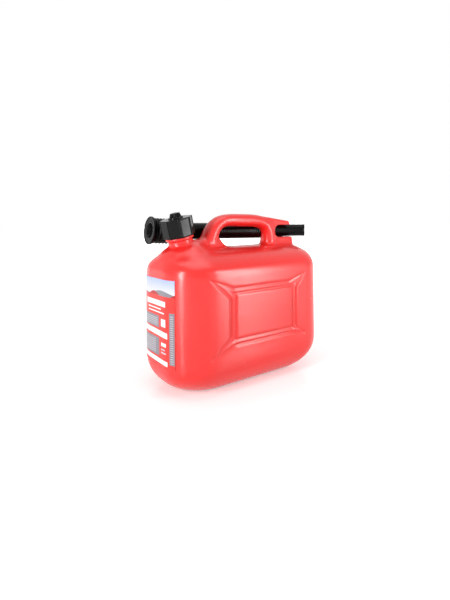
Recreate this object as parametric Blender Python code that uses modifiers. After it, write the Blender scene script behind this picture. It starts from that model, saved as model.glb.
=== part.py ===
"""Five-litre plastic fuel can with a lobed screw cap and a pouring spout stored in its handle.

Lengths are in metres. +X runs towards the rear of the can, -X towards its neck, +Z up, and the
origin is the middle of the base. The neck and the cap share one axis that leans forwards, and the
spout lies on an axis of its own that runs beside the cap and through the handle.
"""

import math

import bmesh
import bpy
from mathutils import Matrix, Vector

# Can body: outer size and the radii of its edges
BODY_LENGTH = 0.265
BODY_WIDTH = 0.147
BODY_HEIGHT = 0.1975
WALL = 0.0018
FRONT_CORNER = 0.054
REAR_CORNER = 0.044
BOTTOM_FRONT_EDGE = 0.038
BOTTOM_REAR_EDGE = 0.0535
BOTTOM_SIDE_EDGE = 0.0435
TOP_FRONT_EDGE = 0.0415
TOP_REAR_EDGE = 0.029
TOP_SIDE_RISE = 0.0335
TOP_SIDE_REACH = 0.056

# Pressed frame on each side: panel, width of the band round it and the tips of its four arms
PANEL_MIDDLE_X = 0.0039
PANEL_MIDDLE_Z = 0.1067
PANEL_LENGTH = 0.098
PANEL_HEIGHT = 0.0575
BAND_WIDTH = 0.0165
BAND_DEPTH = 0.0018
BAND_RIB_DEPTH = 0.0003
BAND_CORNER = 0.003
BAND_CORNER_GROWTH = 0.6
OUTER_GROOVE_SHARE = 0.72
OUTER_GROOVE_REACH = 0.80
RIB_SHARE = 0.50
RIB_REACH = 0.72
INNER_GROOVE_SHARE = 0.24
ARM_FRONT_X = -0.088
ARM_REAR_X = 0.087
ARM_FRONT_TOP_Z = 0.1608
ARM_FRONT_LOW_Z = 0.0514
ARM_REAR_TOP_Z = 0.1565
ARM_REAR_LOW_Z = 0.0599

# Handle: a loop of oval section with its half thicknesses, its foot and the web behind it
HANDLE_HALF = 0.014
GRIP_HALF = 0.0102
GRIP_X = 0.020
GRIP_Z = BODY_HEIGHT + 0.0411
GRIP_FRONT_HALF = 0.0092
GRIP_FRONT_X = -0.021
GRIP_FRONT_Z = BODY_HEIGHT + 0.0383
GRIP_REAR_HALF = 0.0100
GRIP_REAR_X = 0.060
GRIP_REAR_Z = BODY_HEIGHT + 0.0377
FRONT_LEG_HALF = 0.0116
FRONT_LEG_X = -0.0420
FRONT_LEG_Z = BODY_HEIGHT + 0.0175
FRONT_LEG_FOOT_X = -0.052
FRONT_LEG_FOOT_HALF = 0.0151
REAR_LEG_HALF = 0.0098
REAR_LEG_X = 0.0758
REAR_LEG_Z = BODY_HEIGHT + 0.0195
HANDLE_ROOT = 0.024
FOOT_HALF = 0.013
FOOT_ROUND = 0.0055
VALLEY_Z = BODY_HEIGHT + 0.0135
HEEL_X = -0.0285
HEEL_STEP = 0.006
HEEL_Z = BODY_HEIGHT + 0.0035
HEEL_RADIUS = 0.010
HEEL_END_X = 0.010
HEEL_SINK = 0.0035
REAR_WEB_HALF = 0.0105
REAR_WEB_X = 0.124
REAR_WEB_Z = BODY_HEIGHT + 0.0380
REAR_WEB_LEAN = 0.004
REAR_WEB_CORNER = 0.013

# Neck: where its axis meets the underside of the cap, its lean and its radii
NECK_X = -0.0948
NECK_Z = BODY_HEIGHT + 0.0199
NECK_TILT = math.radians(12.5)
NECK_RADIUS = 0.0180
NECK_LENGTH = 0.0130
SHOULDER_RADIUS = 0.0400
SHOULDER_DROP = 0.0125
SHOULDER_CURVE = 1.6
NECK_DEPTH = 0.034
BEAD_RADIUS = 0.0206
BEAD_HEIGHT = 0.0042
BEAD_EDGE = 0.0006
RIM_EDGE = 0.0004
THREAD_ROOT_RADIUS = 0.0182
THREAD_HEIGHT = 0.0010
THREAD_START = 0.0030
THREAD_PITCH = 0.0040
THREAD_TURNS = 2.0
NECK_BORE_RADIUS = 0.0156

# Cap set: ring nut, insert plug with a knob, and gasket
CAP_RADIUS = 0.0231
CAP_RIB_RADIUS = 0.0241
CAP_RIB_WIDTH = 0.0024
CAP_RIB_FOOT = 0.0006
CAP_RIB_TURN = math.radians(32.0)
CAP_LOBES = 8
CAP_HEIGHT = 0.0270
CAP_FLARE = 0.0006
CAP_CHAMFER = 0.0009
CAP_TOP_WALL = 0.0028
CAP_SKIRT_WALL = 0.0025
CAP_HOLE_RADIUS = 0.0140
PLUG_FLANGE_THICKNESS = 0.0022
PLUG_SPIGOT_DEPTH = 0.0080
PLUG_WALL = 0.0018
PLUG_EDGE = 0.0006
HUB_RADIUS = 0.0112
HUB_HEIGHT = 0.0018
KNOB_BASE_RADIUS = 0.0098
KNOB_TOP_RADIUS = 0.0072
KNOB_HEIGHT = 0.0062
KNOB_SIDES = 8
KNOB_EDGE = 0.0009
GASKET_THICKNESS = 0.0016

# Spout: a point on its axis, its direction, and its pieces from the nozzle's tip to the mouth
SPOUT_X = 0.064
SPOUT_Y = 0.0166
SPOUT_Z = BODY_HEIGHT + 0.0229
SPOUT_YAW = math.radians(10.2)
SPOUT_RISE = math.radians(1.0)
NOZZLE_RADIUS = 0.0105
NOZZLE_WALL = 0.0017
NOZZLE_LENGTH = 0.0880
NOZZLE_SLANT = math.radians(36.0)
NOZZLE_LIP_LENGTH = 0.0060
NOZZLE_LIP_RADIUS = 0.0108
NOZZLE_LIP_EDGE = 0.0005
NOZZLE_TAPER_LENGTH = 0.0030
HOSE_RIB_RADIUS = 0.0129
HOSE_VALLEY_RADIUS = 0.0117
HOSE_BORE_RADIUS = 0.0100
HOSE_RIB_PITCH = 0.0044
HOSE_RIBS = 22
HOSE_END = 0.0140
COLLAR_RADIUS = 0.0131
COLLAR_LENGTH = 0.0622
COLLAR_WALL = 0.0020
SPIGOT_LENGTH = 0.0120
BASE_CONE_LENGTH = 0.0060
BELLOWS_RIBS = 5
BELLOWS_PITCH = 0.0052
BELLOWS_RIB_RADIUS = 0.0197
BELLOWS_VALLEY_RADIUS = 0.0174
BELLOWS_WALL = 0.0016
BELLOWS_VALLEY_SHARE = 0.20
BELLOWS_CREST_SHARE = 0.62
BELLOWS_CREST_END_SHARE = 0.74
BELLOWS_BEND = math.radians(8.0)
BELLOWS_BEND_TURN = math.radians(42.0)
FLANGE_RADIUS = 0.0214
FLANGE_THICKNESS = 0.0036
FLANGE_EDGE = 0.0008
CUP_DEPTH = 0.0030
CUP_SPIGOT_RADIUS = 0.0146
CUP_SPIGOT_DROP = 0.0012
CUP_BORE_RADIUS = 0.0115

# Seat of the spout in the rear of the handle
SEAT_WALL = 0.0030
WINDOW_X = 0.0825
WINDOW_HEIGHT = 0.0222
WINDOW_DEPTH = 0.024
WINDOW_SETBACK = 0.002
SEAT_CLEARANCE = 0.0004
SEAT_FRONT = 0.030
SEAT_REAR = 0.090

# Label on the front
LABEL_HALF_WIDTH = 0.048
LABEL_LOW_Z = 0.040
LABEL_TOP_Z = 0.160
LABEL_THICKNESS = 0.0004

# Gap left between pieces that touch
FIT = 0.0003

# Fineness of the round shapes
CORNER_STEPS = 8
EDGE_STEPS = 6
CAVITY_CORNER_STEPS = 6
CAVITY_EDGE_STEPS = 4
SHOULDER_STEPS = 4
HANDLE_STEPS = 4
TURN_STEPS = 40
BASE_STEPS = 36
TUBE_STEPS = 32
SEAT_STEPS = 24
THREAD_STEPS = 24
HOSE_STEPS = 16
ARC_STEP = 15.0
SHARP_ANGLE = math.radians(35.0)

# Overlap of cutters, how far they run past a piece, and the distance that merges points
TINY = 0.0005
RUN_PAST = 0.005
MERGE_DISTANCE = 0.00001

NECK_FRAME = Matrix.Translation((NECK_X, 0.0, NECK_Z)) @ Matrix.Rotation(-NECK_TILT, 4, "Y")
SPOUT_AXIS = Vector(
    (
        -math.cos(SPOUT_YAW) * math.cos(SPOUT_RISE),
        math.sin(SPOUT_YAW) * math.cos(SPOUT_RISE),
        math.sin(SPOUT_RISE),
    )
)


def spout_frame(along):
    """Frame on the spout's axis, a distance towards the mouth, with +Z along the axis."""
    side = Vector((0.0, 0.0, 1.0)).cross(SPOUT_AXIS).normalized()
    up = SPOUT_AXIS.cross(side)
    turn = Matrix((side, up, SPOUT_AXIS)).transposed().to_4x4()
    point = Vector((SPOUT_X, SPOUT_Y, SPOUT_Z)) + SPOUT_AXIS * along
    return Matrix.Translation(point) @ turn


def clear_scene():
    for obj in list(bpy.data.objects):
        bpy.data.objects.remove(obj)


def new_collection(name):
    collection = bpy.data.collections.new(name)
    bpy.context.scene.collection.children.link(collection)
    return collection


def plastic(name, colour, roughness):
    material = bpy.data.materials.new(name)
    material.use_nodes = True
    shader = material.node_tree.nodes["Principled BSDF"]
    shader.inputs["Base Color"].default_value = (*colour, 1.0)
    shader.inputs["Roughness"].default_value = roughness
    shader.inputs["Metallic"].default_value = 0.0
    return material


def add_object(name, mesh, collection, frame=None):
    obj = bpy.data.objects.new(name, mesh)
    if frame is not None:
        obj.matrix_world = frame
    collection.objects.link(obj)
    return obj


def add_piece(name, mesh, material, frame=None):
    """A visible piece, shaded smooth but for its sharp edges."""
    obj = add_object(name, mesh, PARTS, frame)
    obj.data.materials.append(material)
    obj.data.shade_smooth()
    obj.data.set_sharp_from_angle(angle=SHARP_ANGLE)
    return obj


def add_helper(name, mesh, frame=None):
    """A guide or a cutter: hidden from renders and drawn as wire."""
    obj = add_object(name, mesh, CUTTERS, frame)
    obj.hide_render = True
    obj.display_type = "WIRE"
    return obj


def combine(obj, other, operation):
    modifier = obj.modifiers.new(other.name, "BOOLEAN")
    modifier.operation = operation
    modifier.object = other
    modifier.solver = "EXACT"
    weld = obj.modifiers.new("weld", "WELD")
    weld.merge_threshold = MERGE_DISTANCE


def baked(obj):
    """The mesh of an object with its modifiers or curve settings applied; the object is removed."""
    bpy.context.view_layer.update()
    graph = bpy.context.evaluated_depsgraph_get()
    mesh = bpy.data.meshes.new_from_object(obj.evaluated_get(graph))
    bpy.data.objects.remove(obj)
    form = bmesh.new()
    form.from_mesh(mesh)
    bmesh.ops.remove_doubles(form, verts=form.verts, dist=MERGE_DISTANCE)
    bmesh.ops.recalc_face_normals(form, faces=form.faces)
    form.to_mesh(mesh)
    form.free()
    return mesh


def turned(name, profile, steps=TURN_STEPS):
    """Mesh of a profile of (radius, height) points turned about Z. A profile off the axis closes."""
    form = bmesh.new()
    points = [form.verts.new((radius, 0.0, height)) for radius, height in profile]
    for first, second in zip(points, points[1:]):
        form.edges.new((first, second))
    if min(radius for radius, height in profile) > 0.0:
        form.edges.new((points[-1], points[0]))
    mesh = bpy.data.meshes.new(name)
    form.to_mesh(mesh)
    form.free()
    obj = add_object(name, mesh, CUTTERS)
    screw = obj.modifiers.new("turn", "SCREW")
    screw.axis = "Z"
    screw.steps = steps
    screw.render_steps = steps
    screw.use_merge_vertices = True
    screw.merge_threshold = MERGE_DISTANCE
    return baked(obj)


def swept(name, points, radii, thickness, resolution):
    """Mesh of a round tube through points, its radius a share of thickness at each point."""
    curve = bpy.data.curves.new(name, "CURVE")
    curve.dimensions = "3D"
    spline = curve.splines.new("POLY")
    spline.points.add(len(points) - 1)
    for place, point, radius in zip(spline.points, points, radii):
        place.co = (*point, 1.0)
        place.radius = radius / thickness
    curve.bevel_depth = thickness
    curve.bevel_resolution = resolution
    curve.use_fill_caps = True
    return baked(add_object(name, curve, CUTTERS))


def edge_inset(distance, rise, reach):
    """How far a rounded edge draws in, at a distance from the face where it starts."""
    if distance >= rise:
        return 0.0
    slope = (rise - max(distance, 0.0)) / rise
    return reach * (1.0 - math.sqrt(1.0 - slope * slope))


def body_outline(height, grow, corner_steps):
    """Plan outline of the body at a height, grown outwards all round by a distance."""
    low = height + grow
    high = BODY_HEIGHT + grow - height
    front = BODY_LENGTH / 2 + grow
    front -= edge_inset(low, BOTTOM_FRONT_EDGE + grow, BOTTOM_FRONT_EDGE + grow)
    front -= edge_inset(high, TOP_FRONT_EDGE + grow, TOP_FRONT_EDGE + grow)
    rear = BODY_LENGTH / 2 + grow
    rear -= edge_inset(low, BOTTOM_REAR_EDGE + grow, BOTTOM_REAR_EDGE + grow)
    rear -= edge_inset(high, TOP_REAR_EDGE + grow, TOP_REAR_EDGE + grow)
    half = BODY_WIDTH / 2 + grow
    half -= edge_inset(low, BOTTOM_SIDE_EDGE + grow, BOTTOM_SIDE_EDGE + grow)
    half -= edge_inset(high, TOP_SIDE_RISE + grow, TOP_SIDE_REACH + grow)
    front_radius = min(FRONT_CORNER + grow, half - TINY)
    rear_radius = min(REAR_CORNER + grow, half - TINY)
    corners = (
        (rear - rear_radius, -half + rear_radius, rear_radius, -90.0),
        (rear - rear_radius, half - rear_radius, rear_radius, 0.0),
        (-front + front_radius, half - front_radius, front_radius, 90.0),
        (-front + front_radius, -half + front_radius, front_radius, 180.0),
    )
    outline = []
    for x, y, radius, start in corners:
        for step in range(corner_steps + 1):
            angle = math.radians(start + 90.0 * step / corner_steps)
            outline.append((x + radius * math.cos(angle), y + radius * math.sin(angle), height))
    return outline


def body_levels(grow, steps):
    """Heights of the body's sections, closer together where its edges curve."""
    low_edge = max(BOTTOM_FRONT_EDGE, BOTTOM_REAR_EDGE, BOTTOM_SIDE_EDGE) + grow
    top_edge = max(TOP_FRONT_EDGE, TOP_REAR_EDGE, TOP_SIDE_RISE) + grow
    shares = [1.0 - math.cos(math.radians(90.0 * step / steps)) for step in range(steps + 1)]
    lower = [-grow + low_edge * share for share in shares]
    upper = [BODY_HEIGHT + grow - top_edge * share for share in reversed(shares)]
    return lower + upper


def body_mesh(name, grow, corner_steps, edge_steps):
    """The body's rounded form, lofted through its sections and closed at both ends."""
    form = bmesh.new()
    rings = []
    for height in body_levels(grow, edge_steps):
        outline = body_outline(height, grow, corner_steps)
        rings.append([form.verts.new(point) for point in outline])
    count = len(rings[0])
    for lower, upper in zip(rings, rings[1:]):
        for index in range(count):
            after = (index + 1) % count
            form.faces.new((lower[index], lower[after], upper[after], upper[index]))
    form.faces.new(list(reversed(rings[0])))
    form.faces.new(rings[-1])
    mesh = bpy.data.meshes.new(name)
    form.to_mesh(mesh)
    form.free()
    return mesh


def frame_ring(spread, tip_share):
    """Corners of the side frame, spread outwards from the panel, each with its arm's tip between."""
    half_length = PANEL_LENGTH / 2 + spread
    half_height = PANEL_HEIGHT / 2 + spread
    arm = BAND_CORNER + spread * BAND_CORNER_GROWTH
    ring = []
    corners = (
        (-1, -1, ARM_FRONT_X, ARM_FRONT_LOW_Z),
        (1, -1, ARM_REAR_X, ARM_REAR_LOW_Z),
        (1, 1, ARM_REAR_X, ARM_REAR_TOP_Z),
        (-1, 1, ARM_FRONT_X, ARM_FRONT_TOP_Z),
    )
    for side, level, tip_x, tip_z in corners:
        x = PANEL_MIDDLE_X + side * half_length
        z = PANEL_MIDDLE_Z + level * half_height
        along_side = (x, z - level * arm)
        along_level = (x - side * arm, z)
        tip = (x + (tip_x - x) * tip_share, z + (tip_z - z) * tip_share)
        first, last = (along_side, along_level) if side == level else (along_level, along_side)
        ring.extend((first, tip, last))
    return ring


def frame_cutter(name, side, sunk=0.0):
    """Cutter for one pressed frame: two grooves with a rib between them, drawn out into arms."""
    surface = BODY_WIDTH / 2 - sunk
    depths = (
        (BAND_WIDTH, 1.0, -TINY),
        (BAND_WIDTH * OUTER_GROOVE_SHARE, OUTER_GROOVE_REACH, BAND_DEPTH),
        (BAND_WIDTH * RIB_SHARE, RIB_REACH, BAND_RIB_DEPTH),
        (BAND_WIDTH * INNER_GROOVE_SHARE, 0.0, BAND_DEPTH),
        (0.0, 0.0, -TINY),
    )
    form = bmesh.new()
    rings = []
    for spread, tip_share, depth in depths:
        level = side * (surface - depth)
        rings.append([form.verts.new((x, level, z)) for x, z in frame_ring(spread, tip_share)])
    count = len(rings[0])
    for outer, inner in zip(rings, rings[1:] + rings[:1]):
        for index in range(count):
            after = (index + 1) % count
            form.faces.new((outer[index], outer[after], inner[after], inner[index]))
    bmesh.ops.recalc_face_normals(form, faces=form.faces)
    mesh = bpy.data.meshes.new(name)
    form.to_mesh(mesh)
    form.free()
    return add_helper(name, mesh)


def rounded_outline(corners):
    """Closed outline through corners given as (x, z, radius), each rounded to an arc."""
    outline = []
    for index, (x, z, radius) in enumerate(corners):
        corner = Vector((x, z))
        before = Vector(corners[index - 1][:2])
        after = Vector(corners[(index + 1) % len(corners)][:2])
        arriving = (corner - before).normalized()
        leaving = (after - corner).normalized()
        turn = arriving.angle_signed(leaving)
        if radius == 0.0 or abs(turn) < 0.001:
            outline.append(corner)
            continue
        start = corner - arriving * radius * math.tan(abs(turn) / 2)
        side = Vector((-arriving.y, arriving.x))
        if side.dot(leaving) < 0.0:
            side = -side
        centre = start + side * radius
        steps = max(1, round(abs(math.degrees(turn)) / ARC_STEP))
        for step in range(steps + 1):
            angle = abs(turn) * step / steps
            outline.append(centre - side * radius * math.cos(angle) + arriving * radius * math.sin(angle))
    return outline


def smooth_path(points, steps):
    """Points along a smooth line through the given ones, whatever their number of coordinates."""
    padded = [points[0], *points, points[-1]]
    path = []
    for p0, p1, p2, p3 in zip(padded, padded[1:], padded[2:], padded[3:]):
        for step in range(steps):
            t = step / steps
            weights = (
                -t / 2 + t**2 - t**3 / 2,
                1 - 5 * t**2 / 2 + 3 * t**3 / 2,
                t / 2 + 2 * t**2 - 3 * t**3 / 2,
                -(t**2) / 2 + t**3 / 2,
            )
            shared = [[weight * value for value in p] for weight, p in zip(weights, (p0, p1, p2, p3))]
            path.append(tuple(map(sum, zip(*shared))))
    return [*path, points[-1]]


def handle_mesh(name):
    """The grip and its two legs: a round tube along their middle line, widened to an oval."""
    root = BODY_HEIGHT - HANDLE_ROOT
    line = smooth_path(
        (
            (FRONT_LEG_FOOT_X, root, FRONT_LEG_FOOT_HALF),
            (FRONT_LEG_X, FRONT_LEG_Z, FRONT_LEG_HALF),
            (GRIP_FRONT_X, GRIP_FRONT_Z, GRIP_FRONT_HALF),
            (GRIP_X, GRIP_Z, GRIP_HALF),
            (GRIP_REAR_X, GRIP_REAR_Z, GRIP_REAR_HALF),
            (REAR_LEG_X, REAR_LEG_Z, REAR_LEG_HALF),
            (REAR_LEG_X, root, REAR_LEG_HALF),
        ),
        HANDLE_STEPS,
    )
    points = [(x, 0.0, z) for x, z, half in line]
    mesh = swept(name, points, [half for x, z, half in line], GRIP_HALF, 5)
    mesh.transform(Matrix.Scale(HANDLE_HALF / GRIP_HALF, 4, (0.0, 1.0, 0.0)))
    return mesh


def foot_mesh(name):
    """The saddle between the neck and the front leg."""
    root = BODY_HEIGHT - HANDLE_ROOT
    outline = rounded_outline(
        (
            (NECK_X, root, 0.0),
            (NECK_X, VALLEY_Z, 0.0),
            (HEEL_X, VALLEY_Z, 0.0),
            (HEEL_X + HEEL_STEP, HEEL_Z, HEEL_RADIUS),
            (HEEL_END_X, BODY_HEIGHT - HEEL_SINK, 0.0),
            (HEEL_END_X, root, 0.0),
        )
    )
    return plate(name, outline, FOOT_HALF, FOOT_ROUND)


def rear_web_mesh(name):
    """The thinner web behind the rear leg, which the spout passes through."""
    root = BODY_HEIGHT - HANDLE_ROOT
    crest = GRIP_REAR_Z + GRIP_REAR_HALF
    outline = rounded_outline(
        (
            (REAR_LEG_X, root, 0.0),
            (GRIP_REAR_X, GRIP_REAR_Z, 0.0),
            (GRIP_REAR_X, crest, 0.0),
            (REAR_WEB_X - REAR_WEB_LEAN, REAR_WEB_Z, REAR_WEB_CORNER),
            (REAR_WEB_X, root, 0.0),
        )
    )
    return plate(name, outline, REAR_WEB_HALF, FOOT_ROUND)


def plate(name, outline, half, edge):
    """Upright plate with the given outline in X and Z, its edges rounded, centred on Y = 0."""
    curve = bpy.data.curves.new(name, "CURVE")
    curve.dimensions = "2D"
    curve.fill_mode = "BOTH"
    spline = curve.splines.new("POLY")
    spline.points.add(len(outline) - 1)
    spline.use_cyclic_u = True
    for place, (x, z) in zip(spline.points, outline):
        place.co = (x, z, 0.0, 1.0)
    curve.offset = -edge
    curve.extrude = half - edge
    curve.bevel_depth = edge
    curve.bevel_resolution = 2
    mesh = baked(add_object(name, curve, CUTTERS))
    mesh.transform(Matrix.Rotation(math.radians(90.0), 4, "X"))
    return mesh


def helix_mesh(name, radius, start):
    """A thread: a ridge that winds round Z, sunk by half into the wall that carries it."""
    steps = round(THREAD_TURNS * THREAD_STEPS)
    points = []
    for step in range(steps + 1):
        turns = THREAD_TURNS * step / steps
        angle = 2.0 * math.pi * turns
        points.append((radius * math.cos(angle), radius * math.sin(angle), start + THREAD_PITCH * turns))
    return swept(name, points, [THREAD_HEIGHT] * len(points), THREAD_HEIGHT, 1)


def neck_rim():
    """Height of the neck's rim above the underside of the cap."""
    stack = CAP_TOP_WALL + FIT + PLUG_FLANGE_THICKNESS + FIT + GASKET_THICKNESS + FIT
    return CAP_HEIGHT - stack


def neck_mesh(name):
    """Outer form of the neck, from a foot inside the shoulder up to its rim, closed at both ends."""
    rim = neck_rim()
    bead_top = -FIT
    bead_low = bead_top - BEAD_HEIGHT
    profile = [
        (0.0, rim),
        (THREAD_ROOT_RADIUS - RIM_EDGE, rim),
        (THREAD_ROOT_RADIUS, rim - RIM_EDGE),
        (THREAD_ROOT_RADIUS, bead_top),
        (BEAD_RADIUS - RIM_EDGE, bead_top),
        (BEAD_RADIUS, bead_top - BEAD_EDGE),
        (BEAD_RADIUS, bead_low + BEAD_EDGE),
        (NECK_RADIUS, bead_low),
        (NECK_RADIUS, -NECK_LENGTH),
    ]
    for step in range(1, SHOULDER_STEPS + 1):
        share = step / SHOULDER_STEPS
        radius = NECK_RADIUS + (SHOULDER_RADIUS - NECK_RADIUS) * share
        profile.append((radius, -NECK_LENGTH - SHOULDER_DROP * share**SHOULDER_CURVE))
    profile.append((SHOULDER_RADIUS, -NECK_DEPTH))
    profile.append((0.0, -NECK_DEPTH))
    return turned(name, profile)


def make_can_body(material):
    body = add_piece("can_body", body_mesh("can_body", 0.0, CORNER_STEPS, EDGE_STEPS), material)
    combine(body, add_helper("handle_form", handle_mesh("handle_form")), "UNION")
    combine(body, add_helper("handle_foot", foot_mesh("handle_foot")), "UNION")
    combine(body, add_helper("rear_web", rear_web_mesh("rear_web")), "UNION")
    combine(body, add_helper("neck_form", neck_mesh("neck_form"), NECK_FRAME), "UNION")
    combine(body, seat_boss(), "UNION")
    cavity = add_helper("cavity", body_mesh("cavity", -WALL, CAVITY_CORNER_STEPS, CAVITY_EDGE_STEPS))
    for name, side in (("wall_behind_near_frame", -1), ("wall_behind_far_frame", 1)):
        combine(cavity, frame_cutter(name, side, WALL), "DIFFERENCE")
    combine(body, cavity, "DIFFERENCE")
    top = neck_rim() + RUN_PAST
    low = -NECK_DEPTH - RUN_PAST
    bore = [(0.0, top), (NECK_BORE_RADIUS, top), (NECK_BORE_RADIUS, low), (0.0, low)]
    combine(body, add_helper("neck_bore", turned("neck_bore", bore, TUBE_STEPS), NECK_FRAME), "DIFFERENCE")
    thread = helix_mesh("neck_thread", THREAD_ROOT_RADIUS, THREAD_START)
    combine(body, add_helper("neck_thread", thread, NECK_FRAME), "UNION")
    for cutter in seat_cutters():
        combine(body, cutter, "DIFFERENCE")
    for name, side in (("frame_near", -1), ("frame_far", 1)):
        combine(body, frame_cutter(name, side), "DIFFERENCE")
    return body


def seat_boss():
    """Sleeve round the nozzle on the far side of the handle's rear block."""
    radius = NOZZLE_RADIUS + SEAT_CLEARANCE + SEAT_WALL
    rear = (SPOUT_X - REAR_WEB_X + REAR_WEB_LEAN) / math.cos(SPOUT_YAW)
    front = (SPOUT_X - WINDOW_X - REAR_WEB_LEAN) / math.cos(SPOUT_YAW)
    profile = [(0.0, front), (radius, front), (radius, rear), (0.0, rear)]
    return add_helper("seat_boss", turned("seat_boss", profile, SEAT_STEPS), spout_frame(0.0))


def seat_cutters():
    """Stepped channel for the spout through the rear of the handle, and the window on its near side."""
    wide = HOSE_RIB_RADIUS + SEAT_CLEARANCE
    narrow = NOZZLE_RADIUS + SEAT_CLEARANCE
    hose_stop = -HOSE_END - FIT
    channel = [
        (0.0, SEAT_FRONT),
        (wide, SEAT_FRONT),
        (wide, hose_stop),
        (narrow, hose_stop),
        (narrow, -SEAT_REAR),
        (0.0, -SEAT_REAR),
    ]
    mesh = turned("seat_channel", channel, SEAT_STEPS)
    yield add_helper("seat_channel", mesh, spout_frame(0.0))
    radius = WINDOW_HEIGHT / 2
    level = SPOUT_Z + (WINDOW_X - SPOUT_X) * -math.tan(SPOUT_RISE)
    rounding = radius - TINY / 2
    end = REAR_WEB_X + RUN_PAST
    outline = rounded_outline(
        (
            (WINDOW_X, level - radius, rounding),
            (end, level - radius, 0.0),
            (end, level + radius, 0.0),
            (WINDOW_X, level + radius, rounding),
        )
    )
    mesh = plate("seat_window", outline, WINDOW_DEPTH / 2, 0.0)
    inner_side = SPOUT_Y - (WINDOW_X - SPOUT_X) * math.tan(SPOUT_YAW) - WINDOW_SETBACK
    placed = Matrix.Translation((0.0, inner_side - WINDOW_DEPTH / 2, 0.0))
    yield add_helper("seat_window", mesh, placed)


def cap_outline_radius(angle):
    """Radius of the ring nut at an angle: broad lobes with a narrow raised rib between each two."""
    pitch = 2.0 * math.pi / CAP_LOBES
    off_rib = abs((angle - CAP_RIB_TURN + pitch / 2) % pitch - pitch / 2) * CAP_RADIUS
    return CAP_RIB_RADIUS if off_rib < (CAP_RIB_WIDTH + CAP_RIB_FOOT) / 2 else CAP_RADIUS


def cap_angles():
    """Angles round the ring nut: both edges of each rib, and three places across each lobe."""
    pitch = 2.0 * math.pi / CAP_LOBES
    edge = CAP_RIB_WIDTH / 2 / CAP_RADIUS
    foot = edge + CAP_RIB_FOOT / CAP_RADIUS
    angles = []
    for lobe in range(CAP_LOBES):
        middle = CAP_RIB_TURN + lobe * pitch
        angles.extend((middle - edge, middle + edge, middle + foot))
        for share in (0.25, 0.5, 0.75):
            angles.append(middle + foot + (pitch - 2 * foot) * share)
        angles.append(middle + pitch - foot)
    return angles


def make_cap_ring(material):
    """Ring nut: a lobed skirt with an inward lip at the top, which holds the plug down."""
    inner = CAP_RADIUS - CAP_SKIRT_WALL
    form = bmesh.new()
    rings = []
    for height, drop, round_shape in (
        (0.0, CAP_FLARE, False),
        (CAP_HEIGHT - CAP_CHAMFER, 0.0, False),
        (CAP_HEIGHT, CAP_CHAMFER, False),
        (CAP_HEIGHT, CAP_HOLE_RADIUS, True),
        (CAP_HEIGHT - CAP_TOP_WALL, CAP_HOLE_RADIUS, True),
        (CAP_HEIGHT - CAP_TOP_WALL, inner, True),
        (0.0, inner, True),
    ):
        ring = []
        for angle in cap_angles():
            radius = drop if round_shape else cap_outline_radius(angle) - drop
            ring.append(form.verts.new((radius * math.cos(angle), radius * math.sin(angle), height)))
        rings.append(ring)
    count = len(rings[0])
    for first, second in zip(rings, rings[1:] + rings[:1]):
        for index in range(count):
            after = (index + 1) % count
            form.faces.new((first[index], first[after], second[after], second[index]))
    bmesh.ops.recalc_face_normals(form, faces=form.faces)
    mesh = bpy.data.meshes.new("cap_ring")
    form.to_mesh(mesh)
    form.free()
    ring = add_piece("cap_ring", mesh, material, NECK_FRAME)
    thread = helix_mesh("cap_thread", inner, THREAD_START + THREAD_PITCH / 2)
    combine(ring, add_helper("cap_thread", thread, NECK_FRAME), "UNION")
    return ring


def make_cap_plug(material):
    """Insert plug: a hollow spigot in the neck, a flange on the gasket and a knob on top."""
    flange_top = CAP_HEIGHT - CAP_TOP_WALL - FIT
    flange_low = flange_top - PLUG_FLANGE_THICKNESS
    hub_radius = CAP_HOLE_RADIUS - FIT
    flange_radius = CAP_RADIUS - CAP_SKIRT_WALL - FIT
    spigot = NECK_BORE_RADIUS - FIT
    hub_top = CAP_HEIGHT + HUB_HEIGHT
    profile = [
        (0.0, hub_top),
        (HUB_RADIUS - HUB_HEIGHT / 3, hub_top),
        (HUB_RADIUS, CAP_HEIGHT),
        (hub_radius, CAP_HEIGHT),
        (hub_radius, flange_top),
        (flange_radius, flange_top),
        (flange_radius, flange_low),
        (spigot, flange_low),
        (spigot, flange_low - PLUG_SPIGOT_DEPTH + PLUG_EDGE),
        (spigot - PLUG_EDGE, flange_low - PLUG_SPIGOT_DEPTH),
        (spigot - PLUG_WALL, flange_low - PLUG_SPIGOT_DEPTH),
        (spigot - PLUG_WALL, CAP_HEIGHT - PLUG_WALL),
        (0.0, CAP_HEIGHT - PLUG_WALL),
    ]
    plug = add_piece("cap_plug", turned("cap_plug", profile), material, NECK_FRAME)
    form = bmesh.new()
    low = hub_top - PLUG_WALL / 2
    bmesh.ops.create_cone(
        form,
        cap_ends=True,
        segments=KNOB_SIDES,
        radius1=KNOB_BASE_RADIUS,
        radius2=KNOB_TOP_RADIUS,
        depth=hub_top + KNOB_HEIGHT - low,
    )
    bmesh.ops.bevel(
        form,
        geom=form.edges[:],
        offset=KNOB_EDGE,
        segments=1,
        profile=0.5,
        affect="EDGES",
        material=-1,
    )
    bmesh.ops.translate(form, verts=form.verts, vec=(0.0, 0.0, (hub_top + KNOB_HEIGHT + low) / 2))
    knob = bpy.data.meshes.new("knob_form")
    form.to_mesh(knob)
    form.free()
    combine(plug, add_helper("knob_form", knob, NECK_FRAME), "UNION")
    return plug


def make_cap_gasket(material):
    low = neck_rim() + FIT
    inner = NECK_BORE_RADIUS + FIT
    outer = CAP_RADIUS - CAP_SKIRT_WALL - THREAD_HEIGHT - FIT
    top = low + GASKET_THICKNESS
    profile = [(outer, top), (outer, low), (inner, low), (inner, top)]
    return add_piece("cap_gasket", turned("cap_gasket", profile), material, NECK_FRAME)


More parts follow.
